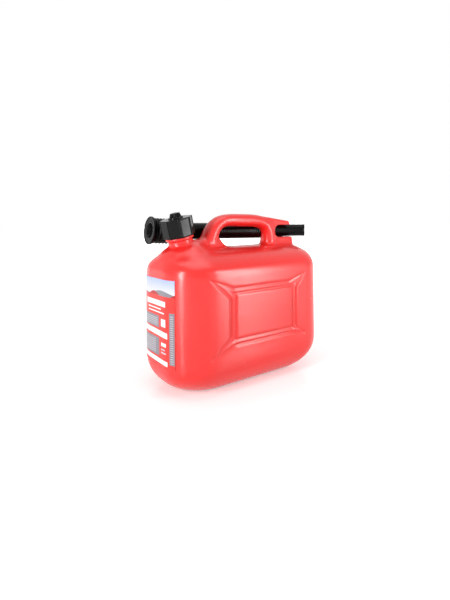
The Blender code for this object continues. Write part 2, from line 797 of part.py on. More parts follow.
def make_nozzle(material):
    """Smooth nozzle with a lip at its tip and a spigot that holds the hose."""
    tip = -HOSE_END - NOZZLE_LENGTH
    shoulder = -HOSE_END - FIT
    spigot = HOSE_BORE_RADIUS - FIT
    bore = NOZZLE_RADIUS - NOZZLE_WALL
    profile = [
        (spigot, shoulder + SPIGOT_LENGTH),
        (spigot, shoulder),
        (NOZZLE_RADIUS, shoulder),
        (NOZZLE_RADIUS, tip + NOZZLE_LIP_LENGTH),
        (NOZZLE_LIP_RADIUS, tip + NOZZLE_LIP_LENGTH - NOZZLE_LIP_EDGE),
        (NOZZLE_LIP_RADIUS, tip + NOZZLE_LIP_EDGE),
        (NOZZLE_LIP_RADIUS - NOZZLE_LIP_EDGE, tip),
        (bore, tip),
        (bore, shoulder - NOZZLE_TAPER_LENGTH),
        (spigot - NOZZLE_WALL, shoulder),
        (spigot - NOZZLE_WALL, shoulder + SPIGOT_LENGTH),
    ]
    mesh = turned("spout_nozzle", profile, TUBE_STEPS)
    for vert in mesh.vertices:
        if vert.co.z < tip + 2 * NOZZLE_LIP_LENGTH:
            vert.co.z += math.tan(NOZZLE_SLANT) * vert.co.x
    return add_piece("spout_nozzle", mesh, material, spout_frame(0.0))


def make_hose(material):
    """Ribbed hose: two points of unlike radius for each rib, and a plain bore cut out."""
    points = []
    radii = []
    for rib in range(HOSE_RIBS):
        start = -HOSE_END + rib * HOSE_RIB_PITCH
        points.extend(((0.0, 0.0, start), (0.0, 0.0, start + HOSE_RIB_PITCH / 2)))
        radii.extend((HOSE_RIB_RADIUS, HOSE_VALLEY_RADIUS))
    points.append((0.0, 0.0, -HOSE_END + HOSE_RIBS * HOSE_RIB_PITCH))
    radii.append(HOSE_RIB_RADIUS)
    mesh = swept("spout_hose", points, radii, HOSE_RIB_RADIUS, 2)
    hose = add_piece("spout_hose", mesh, material, spout_frame(0.0))
    low = -HOSE_END - RUN_PAST
    top = -HOSE_END + HOSE_RIBS * HOSE_RIB_PITCH + RUN_PAST
    bore = [(0.0, top), (HOSE_BORE_RADIUS, top), (HOSE_BORE_RADIUS, low), (0.0, low)]
    cutter = add_helper("hose_bore", turned("hose_bore", bore, HOSE_STEPS), spout_frame(0.0))
    combine(hose, cutter, "DIFFERENCE")
    return hose


def collar_start():
    """Place along the spout's axis where the collar's outer tube starts, past the hose."""
    return -HOSE_END + HOSE_RIBS * HOSE_RIB_PITCH + FIT


def base_start():
    """Place along the spout's axis where the spout's base starts, past the collar's tube."""
    return collar_start() + COLLAR_LENGTH + FIT


def make_collar(material):
    """Smooth tube between the hose and the base, with a spigot at each end."""
    low = collar_start()
    top = low + COLLAR_LENGTH
    hose_spigot = HOSE_BORE_RADIUS - FIT
    bore = hose_spigot - COLLAR_WALL
    base_spigot = COLLAR_RADIUS - BELLOWS_WALL - FIT
    profile = [
        (base_spigot, top + SPIGOT_LENGTH / 2),
        (base_spigot, top),
        (COLLAR_RADIUS, top),
        (COLLAR_RADIUS, low),
        (hose_spigot, low),
        (hose_spigot, low - SPIGOT_LENGTH),
        (bore, low - SPIGOT_LENGTH),
        (bore, top + SPIGOT_LENGTH / 2),
    ]
    return add_piece("spout_collar", turned("spout_collar", profile, TUBE_STEPS), material, spout_frame(0.0))


def bend_base(mesh, length):
    """Curves a mesh made along +Z towards +X, steadily from its foot to its mouth."""
    form = bmesh.new()
    form.from_mesh(mesh)
    radius = length / BELLOWS_BEND
    for vert in form.verts:
        along = max(vert.co.z, 0.0)
        angle = along / radius
        across = radius - vert.co.x
        beyond = vert.co.z - along
        vert.co.x = radius - across * math.cos(angle)
        vert.co.z = across * math.sin(angle) + beyond
    form.to_mesh(mesh)
    form.free()


def base_length():
    return BASE_CONE_LENGTH * 2 + BELLOWS_RIBS * BELLOWS_PITCH + FLANGE_THICKNESS


def make_base(material):
    """Base of the spout: a socket on the collar, bellows, and a flange with a cup for the neck."""
    mouth = base_length()
    flange_low = mouth - FLANGE_THICKNESS
    cup_floor = mouth - CUP_DEPTH
    cup_radius = THREAD_ROOT_RADIUS + THREAD_HEIGHT + FIT
    socket = COLLAR_RADIUS - BELLOWS_WALL
    profile = [
        (CUP_BORE_RADIUS, mouth - CUP_SPIGOT_DROP),
        (CUP_SPIGOT_RADIUS, mouth - CUP_SPIGOT_DROP),
        (CUP_SPIGOT_RADIUS, cup_floor),
        (cup_radius, cup_floor),
        (cup_radius, mouth - FLANGE_EDGE),
        (cup_radius + FLANGE_EDGE, mouth),
        (FLANGE_RADIUS - FLANGE_EDGE, mouth),
        (FLANGE_RADIUS, mouth - FLANGE_EDGE),
        (FLANGE_RADIUS, flange_low + FLANGE_EDGE),
        (FLANGE_RADIUS - FLANGE_EDGE, flange_low),
    ]
    for rib in range(BELLOWS_RIBS):
        top = flange_low - rib * BELLOWS_PITCH
        profile.append((BELLOWS_VALLEY_RADIUS, top - BELLOWS_PITCH * BELLOWS_VALLEY_SHARE))
        profile.append((BELLOWS_RIB_RADIUS, top - BELLOWS_PITCH * BELLOWS_CREST_SHARE))
        profile.append((BELLOWS_RIB_RADIUS, top - BELLOWS_PITCH * BELLOWS_CREST_END_SHARE))
    profile.extend(
        (
            (COLLAR_RADIUS, BASE_CONE_LENGTH),
            (COLLAR_RADIUS, 0.0),
            (socket, 0.0),
            (socket, BASE_CONE_LENGTH + FLANGE_EDGE),
            (CUP_BORE_RADIUS, BASE_CONE_LENGTH * 2),
        )
    )
    mesh = turned("spout_base", profile, BASE_STEPS)
    bend_base(mesh, mouth)
    return add_piece("spout_base", mesh, material, base_frame())


def base_frame():
    """Frame at the foot of the spout's base, with +X on the side that the base curves towards."""
    return spout_frame(base_start()) @ Matrix.Rotation(BELLOWS_BEND_TURN, 4, "Z")


def make_base_gasket(material):
    """Flat seal at the floor of the cup, which the neck's rim presses on."""
    low = base_length() - CUP_DEPTH + FIT
    top = low + GASKET_THICKNESS
    outer = THREAD_ROOT_RADIUS + THREAD_HEIGHT
    inner = CUP_SPIGOT_RADIUS + FIT
    profile = [(outer, top), (outer, low), (inner, low), (inner, top)]
    mesh = turned("spout_gasket", profile, BASE_STEPS)
    bend_base(mesh, base_length())
    return add_piece("spout_gasket", mesh, material, base_frame())


def make_label(material):
    """Thin sheet on the curved front, standing off the wall by the thickness of its glue."""
    form = bmesh.new()
    rings = []
    levels = [height for height in body_levels(0.0, EDGE_STEPS) if LABEL_LOW_Z < height < LABEL_TOP_Z]
    for height in [LABEL_LOW_Z, *levels, LABEL_TOP_Z]:
        outline = body_outline(height, FIT, 3 * CORNER_STEPS)
        wanted = [(x, y, z) for x, y, z in outline if x < 0.0 and abs(y) <= LABEL_HALF_WIDTH]
        rings.append([form.verts.new(point) for point in wanted])
    for lower, upper in zip(rings, rings[1:]):
        for index in range(len(lower) - 1):
            form.faces.new((lower[index], lower[index + 1], upper[index + 1], upper[index]))
    mesh = bpy.data.meshes.new("front_label")
    form.to_mesh(mesh)
    form.free()
    label = add_piece("front_label", mesh, material)
    shell = label.modifiers.new("thickness", "SOLIDIFY")
    shell.thickness = LABEL_THICKNESS
    shell.offset = 1.0
    return label


clear_scene()
PARTS = new_collection("fuel_can")
CUTTERS = new_collection("cutters")
red = plastic("red_polyethylene", (0.80, 0.045, 0.035), 0.42)
black = plastic("black_polyethylene", (0.012, 0.012, 0.013), 0.35)
hose_black = plastic("black_ribbed_hose", (0.010, 0.010, 0.010), 0.45)
rubber = plastic("black_rubber", (0.020, 0.020, 0.020), 0.80)
paper = plastic("printed_label", (0.75, 0.75, 0.76), 0.45)
make_can_body(red)
make_label(paper)
make_cap_ring(black)
make_cap_plug(black)
make_cap_gasket(rubber)
make_nozzle(black)
make_hose(hose_black)
make_collar(black)
make_base(black)
make_base_gasket(rubber)
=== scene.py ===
"""Plastic fuel can with a lobed screw cap and a pouring spout that is stored in its handle.

Lengths are in metres. +X runs to the rear of the can, -X to its neck, and Z = 0 is the floor.
"""

import math

import bmesh
import bpy
import numpy as np
from bpy.props import FloatProperty, FloatVectorProperty, PointerProperty
from mathutils import Matrix, Vector


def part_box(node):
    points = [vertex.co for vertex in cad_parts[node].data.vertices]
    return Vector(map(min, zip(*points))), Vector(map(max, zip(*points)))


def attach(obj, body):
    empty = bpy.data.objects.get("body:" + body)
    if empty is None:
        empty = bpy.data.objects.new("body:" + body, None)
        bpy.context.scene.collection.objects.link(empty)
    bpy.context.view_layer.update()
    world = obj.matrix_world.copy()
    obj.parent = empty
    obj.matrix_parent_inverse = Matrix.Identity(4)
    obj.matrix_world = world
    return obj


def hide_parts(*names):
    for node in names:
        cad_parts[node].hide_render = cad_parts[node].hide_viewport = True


bl_info = {
    "name": "Fuel Can",
    "version": (1, 0, 0),
    "blender": (4, 5, 0),
    "location": "View3D > Sidebar > Fuel Can",
    "description": "Builds a blow-moulded fuel can with its cap, spout and label",
    "category": "Add Mesh",
}

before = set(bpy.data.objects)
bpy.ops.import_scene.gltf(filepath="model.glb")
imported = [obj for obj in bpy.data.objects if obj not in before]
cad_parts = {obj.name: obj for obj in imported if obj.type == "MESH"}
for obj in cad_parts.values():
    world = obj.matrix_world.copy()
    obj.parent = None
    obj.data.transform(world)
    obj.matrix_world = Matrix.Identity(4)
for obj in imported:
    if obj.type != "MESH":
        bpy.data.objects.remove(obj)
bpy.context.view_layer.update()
BODY_LOW, BODY_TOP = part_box("can_body")


def linear(code):
    """Linear colour of an sRGB hex value."""
    values = [int(code[place : place + 2], 16) / 255.0 for place in (1, 3, 5)]
    straight = [v / 12.92 if v <= 0.04045 else ((v + 0.055) / 1.055) ** 2.4 for v in values]
    return (*straight, 1.0)


# Can body
BODY_LENGTH = BODY_TOP.x - BODY_LOW.x
BODY_WIDTH = BODY_TOP.y - BODY_LOW.y
BODY_HEIGHT = 0.1975
WALL = 0.0018
FRONT_CORNER = 0.054
REAR_CORNER = 0.040
BOTTOM_FRONT_EDGE = 0.038
BOTTOM_REAR_EDGE = 0.0535
BOTTOM_SIDE_EDGE = 0.0435
TOP_FRONT_EDGE = 0.0300
TOP_REAR_EDGE = 0.0160
TOP_SIDE_RISE = 0.0335
TOP_SIDE_REACH = 0.066
CORNER_SLACK = 0.0005
# the cavity keeps clear of the wall by this much, so that the pressed frames don't break through
CAVITY_MARGIN = 0.0012

# Pressed frame on each side: a panel, a band round it, and arms from the band's corners to their tips
PANEL_MIDDLE = (0.0059, 0.1063)
PANEL_HALF = (0.0513, 0.0294)
BAND_WIDTH = (0.0135, 0.0124)
BAND_CORNER = 0.003
BAND_MARGIN = 0.003
BAND_FLATNESS = 0.004
# each arm: the side and the level of its corner, its tip, and how far along and up its root reaches
ARMS = (
    (-1, -1, (-0.0905, 0.0506), (0.0110, 0.0140)),
    (1, -1, (0.0890, 0.0602), (0.0110, 0.0100)),
    (1, 1, (0.0892, 0.1570), (0.0140, 0.0130)),
    (-1, 1, (-0.0913, 0.1616), (0.0070, 0.0160)),
)
# each line of the frame's section: its place across the band, how far it runs into the arms, its depth
BAND_RINGS = (
    (1.00, 1.00, 0.0),
    (0.79, 0.92, 0.0023),
    (0.54, 0.82, 0.0004),
    (0.46, 0.66, 0.0004),
    (0.22, 0.00, 0.0021),
    (0.00, 0.00, 0.0),
)

# Handle: middle line as x, height above the body's top and half thickness
HANDLE_HALF = 0.014
HANDLE_ROUNDNESS = 0.9
HANDLE_ROOT = -0.024
REAR_LEG_X = 0.0745
HANDLE_LINE = (
    (-0.052, HANDLE_ROOT, 0.0151),
    (-0.0420, 0.0178, 0.0120),
    (-0.0218, 0.0394, 0.0096),
    (0.020, 0.0412, 0.0102),
    (0.059, 0.0372, 0.0102),
    (REAR_LEG_X, 0.0195, 0.0112),
    (REAR_LEG_X, HANDLE_ROOT, 0.0112),
)

# Foot and web of the handle, as plates: corners as x, height above the body's top and radius
NECK_X = -0.0948
FOOT_HALF = 0.013
FOOT_ROUND = 0.0055
FOOT_LINE = (
    (NECK_X, HANDLE_ROOT, 0.0),
    (NECK_X, 0.0135, 0.0),
    (-0.0285, 0.0135, 0.0),
    (-0.0185, 0.0024, 0.020),
    (0.014, -0.0035, 0.0),
    (0.014, HANDLE_ROOT, 0.0),
)
WEB_HALF = 0.0105
WEB_ROUND = 0.0034
WEB_LINE = (
    (REAR_LEG_X, HANDLE_ROOT, 0.0),
    (0.060, 0.0377, 0.0),
    (0.060, 0.0472, 0.0),
    (0.1178, 0.0386, 0.0055),
    (0.1250, 0.0250, 0.0),
    (0.1280, HANDLE_ROOT, 0.0),
)

# Neck and cap, on an axis that leans forwards; heights are above the underside of the ring nut
NECK_TILT = math.radians(12.5)
NECK_Z = 0.2174
NECK_FRAME = Matrix.Translation((NECK_X, 0.0, NECK_Z)) @ Matrix.Rotation(-NECK_TILT, 4, "Y")
NECK_RADIUS = 0.0180
NECK_LENGTH = 0.0130
SHOULDER_RADIUS = 0.0400
SHOULDER_DROP = 0.0125
SHOULDER_CURVE = 1.6
SHOULDER_TOP = 0.006
NECK_DEPTH = 0.036
NECK_BORE_RADIUS = 0.0156
SHELL_BORE_RADIUS = NECK_BORE_RADIUS + 0.0006
SHELL_BORE_ENDS = (0.03, -0.04)
NECK_FINISH_LOW = -0.0220
NECK_RIM = 0.0199
BEAD_RADIUS = 0.0206
BEAD_LOW = -0.0045
BEAD_TOP = -0.0003
THREAD_ROOT_RADIUS = 0.0182
THREAD_HEIGHT = 0.0010
THREAD_PITCH = 0.0040
THREAD_TURNS = 2.0
THREAD_START = 0.0030
THREAD_SIDES = 8
CAP_RADIUS = 0.0231
CAP_FLAT_RADIUS = 0.0221
CAP_RIB_HEIGHT = 0.0013
CAP_RIB_WIDTH = 0.0026
CAP_RIB_STEEPNESS = 4
CAP_RIB_TURN = math.radians(25.5)
CAP_LOBES = 8
CAP_HEIGHT = 0.0270
CAP_INNER_RADIUS = 0.0206
CAP_TOP_WALL = 0.0028
CAP_HOLE_RADIUS = 0.0140
PLUG_TOP = CAP_HEIGHT + 0.0018
PLUG_FLANGE = 0.0022
PLUG_STEP_RADIUS = 0.0112
PLUG_SPIGOT_LENGTH = 0.0080
PLUG_WALL = 0.0018
KNOB_HEIGHT = 0.0058
KNOB_BASE_RADIUS = 0.0101
KNOB_TOP_RADIUS = 0.0080
KNOB_FLUTES = 6
KNOB_FLUTE_DEPTH = 0.0021
KNOB_FLUTE_SHAPE = 1.2

# Spout, on its own axis; distances run along it from the seat towards the mouth
SPOUT_POINT = Vector((0.064, 0.0166, 0.2204))
SPOUT_YAW = math.radians(10.2)
SPOUT_RISE = math.radians(1.0)
HOSE_END = 0.0140
NOZZLE_RADIUS = 0.0105
NOZZLE_LIP_RADIUS = 0.0108
NOZZLE_WALL = 0.0017
NOZZLE_LENGTH = 0.0879
NOZZLE_SLANT = math.radians(36.0)
NOZZLE_LIP_LENGTH = 0.0060
TUBE_SPIGOT_LENGTH = 0.0120
HOSE_LENGTH = 0.0968
HOSE_RIBS = 26
HOSE_RIB_SHAPE = 0.7
HOSE_RIB_RADIUS = 0.0129
HOSE_VALLEY_RADIUS = 0.0116
HOSE_BORE_RADIUS = 0.0100
COLLAR_RADIUS = 0.0131
COLLAR_LENGTH = 0.0622
COLLAR_WALL = 0.0020
COLLAR_TONGUE_RADIUS = 0.0112
COLLAR_TONGUE_LENGTH = 0.0060
FIT = 0.0003
BASE_LENGTH = 0.0416
BASE_CONE_LENGTH = 0.0060
BELLOWS_RIBS = 5
BELLOWS_PITCH = 0.0052
BELLOWS_RIB_RADIUS = 0.0197
BELLOWS_VALLEY_RADIUS = 0.0174
# one rib of the bellows: the share of the pitch, and the share of the rise from valley to rib
BELLOWS_RIB_LINE = (
    (0.12, 0.25),
    (0.20, 0.0),
    (0.28, 0.1),
    (0.48, 0.72),
    (0.60, 0.97),
    (0.68, 1.0),
    (0.76, 0.97),
    (0.88, 0.72),
)
BELLOWS_BEND = math.radians(8.0)
BELLOWS_BEND_TURN = math.radians(42.0)
FLANGE_RADIUS = 0.0214
FLANGE_THICKNESS = 0.0036
CUP_DEPTH = 0.0030
CUP_RADIUS = 0.0195
CUP_SPIGOT_RADIUS = 0.0146
CUP_BORE_RADIUS = 0.0115
CUP_LIP = 0.0016
SOCKET_WALL = 0.0016

# Seat at the handle's rear: a sleeve round the nozzle, its channel, and a window on its near side
SEAT_CLEARANCE = 0.0007
SEAT_WALL = 0.0030
SLEEVE_ENDS = (-0.0229, -0.0569)
CHANNEL_ENDS = (0.03, -0.09)
WINDOW_X = 0.0845
WINDOW_REAR = 0.14
WINDOW_RISE = 0.0094
WINDOW_DROP = 0.0111
WINDOW_EDGE = 0.0010
WINDOW_HALF = 0.012
WINDOW_OVERLAP = 0.002

# Label
LABEL_HALF_WIDTH = 0.0435
LABEL_LOW = 0.040
LABEL_TOP = 0.160
LABEL_THICKNESS = 0.0004

# Fineness: steps to a turn, degrees to a step of a small arc, distance at which points are merged,
# spacing of the shell's points, and the level above which they are split
TURN_STEPS = 96
ARC_STEP = 6.0
MERGE = 0.00001
VOXEL = 0.0020
FINE_ABOVE = 0.208

# Evening out: how far each point moves towards the middle of its neighbours, and in how many rounds
EVEN_SHARE = 0.5
EVEN_ROUNDS = 5
PRESS_ROUNDS = 3
BLEND_ROUNDS = 60

# Where the shell's hollows are filled to a soft blend: above a level, and less near neck and rear
# leg. Each of the two gives where it starts, over how far it grows or fades, and its least share.
BLEND_ABOVE = 0.150
NECK_BLEND = (0.021, 0.010, 0.12)
REAR_BLEND = (0.010, 0.030, 0.25)

# Patterns: a noise of this scale has marks 1 mm apart, and a length in mm is divided by it
PER_METRE = 1000.0

# Black finishes: shine, roughness from and to, and the grain's size and depth in mm.
# Injection-moulded polypropylene: flat lobes that mirror the room
CAP_GLOSS = {"shine": 0.13, "gloss": (0.09, 0.19), "grain": 2.0, "depth": 0.03}
# moulded polyethylene: a plain gloss with soft edges
TUBE_GLOSS = {"shine": 0.10, "gloss": (0.18, 0.28), "grain": 1.4286, "depth": 0.03}
# blown and corrugated polyethylene: a bright dot on every rib
HOSE_GLOSS = {"shine": 0.30, "gloss": (0.12, 0.20), "grain": 1.1111, "depth": 0.03}
# moulded nitrile rubber: dull all over
SEAL_GLOSS = {"shine": 0.30, "gloss": (0.60, 0.80), "grain": 0.8333, "depth": 0.04}

# Stage: the world's light on the object, and the floor's glow, which grows to 1, or white, between its near
# and its far distance; the lower glow near the object is painted shade on the floor round the can, and the
# can's lower sides mirror it too
WORLD_LEVEL = 0.20
FLOOR_HALF = 8.0
SHADED_GLOW_LEVEL = 0.32
GLOW_NEAR = 0.30
GLOW_FAR = 1.40
# each lamp: name, compass angle, distance, width, low end, high end and radiance
LAMPS = (
    ("right_box", 56.5, 1.0, 0.11, 0.01, 0.80, 22.0),
    ("front_box", 80.0, 1.2, 0.40, 0.10, 0.90, 0.8),
    ("left_strip", 166.0, 1.0, 0.08, 0.03, 0.80, 44.0),
)
# side, height and radiance of the square box overhead
TOP_BOX = (1.2, 1.7, 1.7)

# Photographed view
CAMERA_PLACE = (-0.4059, -0.550, 0.249)
CAMERA_TURN = math.radians(-36.4)
CAMERA_ROLL = math.radians(-0.6)
CAMERA_LENS = 25.758
CAMERA_SHIFT = (-0.01017, -0.14333)


def length_choice(name, description, default):
    """A length that a user can change."""
    return FloatProperty(name=name, description=description, default=default, unit="LENGTH")


def colour_choice(name, description, code):
    """A colour that a user can change."""
    return FloatVectorProperty(
        name=name,
        description=description,
        default=linear(code),
        size=4,
        subtype="COLOR",
    )


class FuelCanSizes(bpy.types.PropertyGroup):
    """Sizes that change how the can is dressed."""

    handle_half: length_choice("Grip half width", "Half of the handle's width across the can", HANDLE_HALF)
    knob_height: length_choice("Knob height", "Height of the knob on the cap's plug", KNOB_HEIGHT)
    voxel: length_choice("Shell detail", "Spacing of the points that the can's shell is built from", VOXEL)
    band_depth: FloatProperty(
        name="Frame depth",
        description="How deep the frame on each side is pressed, as a share of its usual depth",
        default=1.0,
        subtype="FACTOR",
    )


class FuelCanFinishes(bpy.types.PropertyGroup):
    """Colours of the plastics, the seals and the label."""

    can: colour_choice("Can", "Colour of the blow-moulded polyethylene", "#F12C29")
    cap: colour_choice("Cap", "Colour of the injection-moulded cap", "#090909")
    spout: colour_choice("Spout", "Colour of the spout's tubes and hose", "#090909")
    seal: colour_choice("Seals", "Colour of the rubber gaskets", "#2A2A2B")
    label_red: colour_choice("Label field", "Colour of the label's plain field", "#E2332D")


# Shared shapes


def spout_frame(along):
    """Frame on the spout's axis, a distance towards the mouth, with +Z along the axis."""
    axis = Vector(
        (
            -math.cos(SPOUT_YAW) * math.cos(SPOUT_RISE),
            math.sin(SPOUT_YAW) * math.cos(SPOUT_RISE),
            math.sin(SPOUT_RISE),
        )
    )
    side = Vector((0.0, 0.0, 1.0)).cross(axis).normalized()
    turn = Matrix((side, axis.cross(side), axis)).transposed().to_4x4()
    return Matrix.Translation(SPOUT_POINT + axis * along) @ turn


def closed_mesh(name, form):
    """Mesh of a form, with its doubles merged and its faces turned outwards."""
    bmesh.ops.remove_doubles(form, verts=form.verts, dist=MERGE)
    bmesh.ops.recalc_face_normals(form, faces=form.faces)
    mesh = bpy.data.meshes.new(name)
    form.to_mesh(mesh)
    form.free()
    return mesh


def spun(name, profile, place, steps=TURN_STEPS):
    """Mesh of a profile of (radius, height) points turned about Z and set in its place."""
    form = bmesh.new()
    points = [form.verts.new((radius, 0.0, height)) for radius, height in profile]
    edges = [form.edges.new(pair) for pair in zip(points, points[1:])]
    if min(radius for radius, height in profile) > 0.0:
        edges.append(form.edges.new((points[-1], points[0])))
    bmesh.ops.spin(
        form,
        geom=points + edges,
        cent=(0.0, 0.0, 0.0),
        axis=(0.0, 0.0, 1.0),
        dvec=(0.0, 0.0, 0.0),
        angle=2.0 * math.pi,
        steps=steps,
        use_merge=True,
    )
    mesh = closed_mesh(name, form)
    mesh.transform(place)
    return mesh


def skinned(name, columns, rows, point, place=None):
    """Mesh of a grid whose points are moved to point(column, row), with open ends filled."""
    form = bmesh.new()
    bmesh.ops.create_grid(form, x_segments=columns, y_segments=rows, size=0.5)
    for vert in form.verts:
        vert.co = point(round((vert.co.x + 0.5) * columns), round((vert.co.y + 0.5) * rows))
    bmesh.ops.remove_doubles(form, verts=form.verts, dist=MERGE)
    bmesh.ops.holes_fill(form, edges=[edge for edge in form.edges if edge.is_boundary], sides=0)
    mesh = closed_mesh(name, form)
    if place is not None:
        mesh.transform(place)
    return mesh


def tube_through(name, points, radius, sides, place=None):
    """Mesh of a round bar through points, for a thread."""

    def point(column, row):
        here = points[row]
        ahead = (points[min(row + 1, len(points) - 1)] - points[max(row - 1, 0)]).normalized()
        out = Vector((here.x, here.y, 0.0)).normalized()
        up = ahead.cross(out).normalized()
        angle = 2.0 * math.pi * column / sides
        return here + out * radius * math.cos(angle) + up * radius * math.sin(angle)

    return skinned(name, sides, len(points) - 1, point, place)


def round_point(radius, angle, height):
    """Point at a radius, an angle and a height about the Z axis."""
    return Vector((radius * math.cos(angle), radius * math.sin(angle), height))


def thread_mesh(radius, start, steps=48):
    """A screw thread on a radius, set in place on the neck."""
    count = round(THREAD_TURNS * steps)
    line = []
    for step in range(count + 1):
        angle = 2.0 * math.pi * THREAD_TURNS * step / count
        line.append(round_point(radius, angle, start + THREAD_PITCH * THREAD_TURNS * step / count))
    return tube_through("thread", line, THREAD_HEIGHT, THREAD_SIDES, NECK_FRAME)


def joined(name, meshes):
    """One mesh of several."""
    form = bmesh.new()
    for mesh in meshes:
        form.from_mesh(mesh)
        bpy.data.meshes.remove(mesh)
    whole = bpy.data.meshes.new(name)
    form.to_mesh(whole)
    form.free()
    return whole


def evaluated(obj):
    """The object's mesh with its modifiers applied; the object is removed."""
    bpy.context.view_layer.update()
    graph = bpy.context.evaluated_depsgraph_get()
    mesh = bpy.data.meshes.new_from_object(obj.evaluated_get(graph))
    bpy.data.objects.remove(obj)
    return mesh


def loose_object(name, data):
    """A new object of the scene that shows the data."""
    obj = bpy.data.objects.new(name, data)
    bpy.context.scene.collection.objects.link(obj)
    return obj


def combined(name, mesh, steps):
    """The mesh after Boolean steps, each an operation and the mesh that it uses."""
    obj = loose_object(name, mesh)
    others = []
    for operation, other in steps:
        others.append(loose_object("cutter", other))
        modifier = obj.modifiers.new(operation.lower(), "BOOLEAN")
        modifier.operation = operation
        modifier.solver = "EXACT"
        modifier.object = others[-1]
    result = evaluated(obj)
    for other in others:
        bpy.data.objects.remove(other)
    return result


def dressed(name, mesh, material, body, slot, *nodes, sharp=40.0):
    """Places a finished piece: its finish, the body it rides on and the CAD nodes it stands for."""
    obj = loose_object(name, mesh)
    mesh.materials.clear()
    mesh.materials.append(material)
    mesh.shade_smooth()
    mesh.set_sharp_from_angle(angle=math.radians(sharp))
    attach(obj, body)
    if nodes:
        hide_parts(*nodes)


def smooth_line(points, steps):
    """Points along a smooth line through the given ones."""
    padded = [points[0], *points, points[-1]]
    line = []
    for p0, p1, p2, p3 in zip(padded, padded[1:], padded[2:], padded[3:]):
        for step in range(steps):
            t = step / steps
            weights = (
                -t / 2 + t**2 - t**3 / 2,
                1 - 5 * t**2 / 2 + 3 * t**3 / 2,
                t / 2 + 2 * t**2 - 3 * t**3 / 2,
                -(t**2) / 2 + t**3 / 2,
            )
            shared = [[weight * value for value in p] for weight, p in zip(weights, (p0, p1, p2, p3))]
            line.append(tuple(map(sum, zip(*shared))))
    return [*line, points[-1]]


def mesh_points(mesh):
    """Places of a mesh's points, one row to a point."""
    places = np.empty(len(mesh.vertices) * 3)
    mesh.vertices.foreach_get("co", places)
    return places.reshape(-1, 3)


def move_points(mesh, places):
    """Moves a mesh's points to their new places."""
    mesh.vertices.foreach_set("co", places.ravel())
    mesh.update()


def even_out(mesh, rounds, share, fills=0.0, strength=None):
    """Evens a mesh out. With fills, hollows are filled in and crests keep 1 - fills of their move."""
    count = len(mesh.vertices)
    places = mesh_points(mesh)
    ends = np.empty(len(mesh.edges) * 2, dtype=np.int32)
    mesh.edges.foreach_get("vertices", ends)
    first, second = ends.reshape(-1, 2).T
    neighbours = np.bincount(ends, minlength=count)[:, None]
    normals = np.empty(count * 3)
    for _ in range(rounds):
        total = np.empty_like(places)
        for axis in range(3):
            total[:, axis] = np.bincount(first, places[second, axis], count)
            total[:, axis] += np.bincount(second, places[first, axis], count)
        move = (total / neighbours - places) * share
        if fills > 0.0:
            move_points(mesh, places)
            mesh.vertex_normals.foreach_get("vector", normals)
            outwards = (move * normals.reshape(-1, 3)).sum(axis=1, keepdims=True)
            move -= normals.reshape(-1, 3) * np.minimum(outwards, 0.0) * fills
        if strength is not None:
            move *= strength[:, None]
        places += move
    move_points(mesh, places)


# Can body


def edge_inset(distance, rise, reach):
    """How far a rounded edge draws in, at a distance from the face where it starts."""
    if distance >= rise:
        return 0.0
    slope = (rise - max(distance, 0.0)) / rise
    return reach * (1.0 - math.sqrt(1.0 - slope * slope))


def body_outline(height, grow, steps):
    """Plan outline of the body at a height, grown outwards all round by a distance."""
    low = height + grow
    high = BODY_HEIGHT + grow - height
    insets = []
    for bottom, rise, reach in (
        (BOTTOM_FRONT_EDGE, TOP_FRONT_EDGE, TOP_FRONT_EDGE),
        (BOTTOM_REAR_EDGE, TOP_REAR_EDGE, TOP_REAR_EDGE),
        (BOTTOM_SIDE_EDGE, TOP_SIDE_RISE, TOP_SIDE_REACH),
    ):
        inset = edge_inset(low, bottom + grow, bottom + grow)
        insets.append(inset + edge_inset(high, rise + grow, reach + grow))
    front = BODY_LENGTH / 2 + grow - insets[0]
    rear = BODY_LENGTH / 2 + grow - insets[1]
    half = BODY_WIDTH / 2 + grow - insets[2]
    front_radius = min(FRONT_CORNER + grow, half - CORNER_SLACK)
    rear_radius = min(REAR_CORNER + grow, half - CORNER_SLACK)
    corners = (
        (rear - rear_radius, -half + rear_radius, rear_radius, -90.0),
        (rear - rear_radius, half - rear_radius, rear_radius, 0.0),
        (-front + front_radius, half - front_radius, front_radius, 90.0),
        (-front + front_radius, -half + front_radius, front_radius, 180.0),
    )
    outline = []
    for x, y, radius, start in corners:
        for step in range(steps + 1):
            angle = math.radians(start + 90.0 * step / steps)
            outline.append(Vector((x + radius * math.cos(angle), y + radius * math.sin(angle), height)))
    return outline


def body_form(name, grow, steps, levels):
    """The body's rounded form, grown outwards by a distance."""
    low_edge = max(BOTTOM_FRONT_EDGE, BOTTOM_REAR_EDGE, BOTTOM_SIDE_EDGE) + grow
    top_edge = max(TOP_FRONT_EDGE, TOP_REAR_EDGE, TOP_SIDE_RISE) + grow
    shares = [1.0 - math.cos(math.radians(90.0 * step / levels)) for step in range(levels + 1)]
    heights = [-grow + low_edge * share for share in shares]
    heights += [BODY_HEIGHT + grow - top_edge * share for share in reversed(shares)]
    outlines = [body_outline(height, grow, steps) for height in heights]
    count = len(outlines[0])
    return skinned(name, count, len(heights) - 1, lambda column, row: outlines[row][column % count])


def handle_form(half_width):
    """The grip and its two legs, of a full oval section."""
    line = smooth_line([(x, BODY_HEIGHT + rise, half) for x, rise, half in HANDLE_LINE], 10)
    sides = 40

    def point(column, row):
        x, z, half = line[row]
        ahead = Vector(line[min(row + 1, len(line) - 1)][:2]) - Vector(line[max(row - 1, 0)][:2])
        ahead.normalize()
        angle = 2.0 * math.pi * column / sides
        across = math.copysign(abs(math.cos(angle)) ** HANDLE_ROUNDNESS, math.cos(angle)) * half
        wide = math.copysign(abs(math.sin(angle)) ** HANDLE_ROUNDNESS, math.sin(angle)) * half_width
        return Vector((x - ahead.y * across, wide, z + ahead.x * across))

    return skinned("handle_form", sides, len(line) - 1, point)


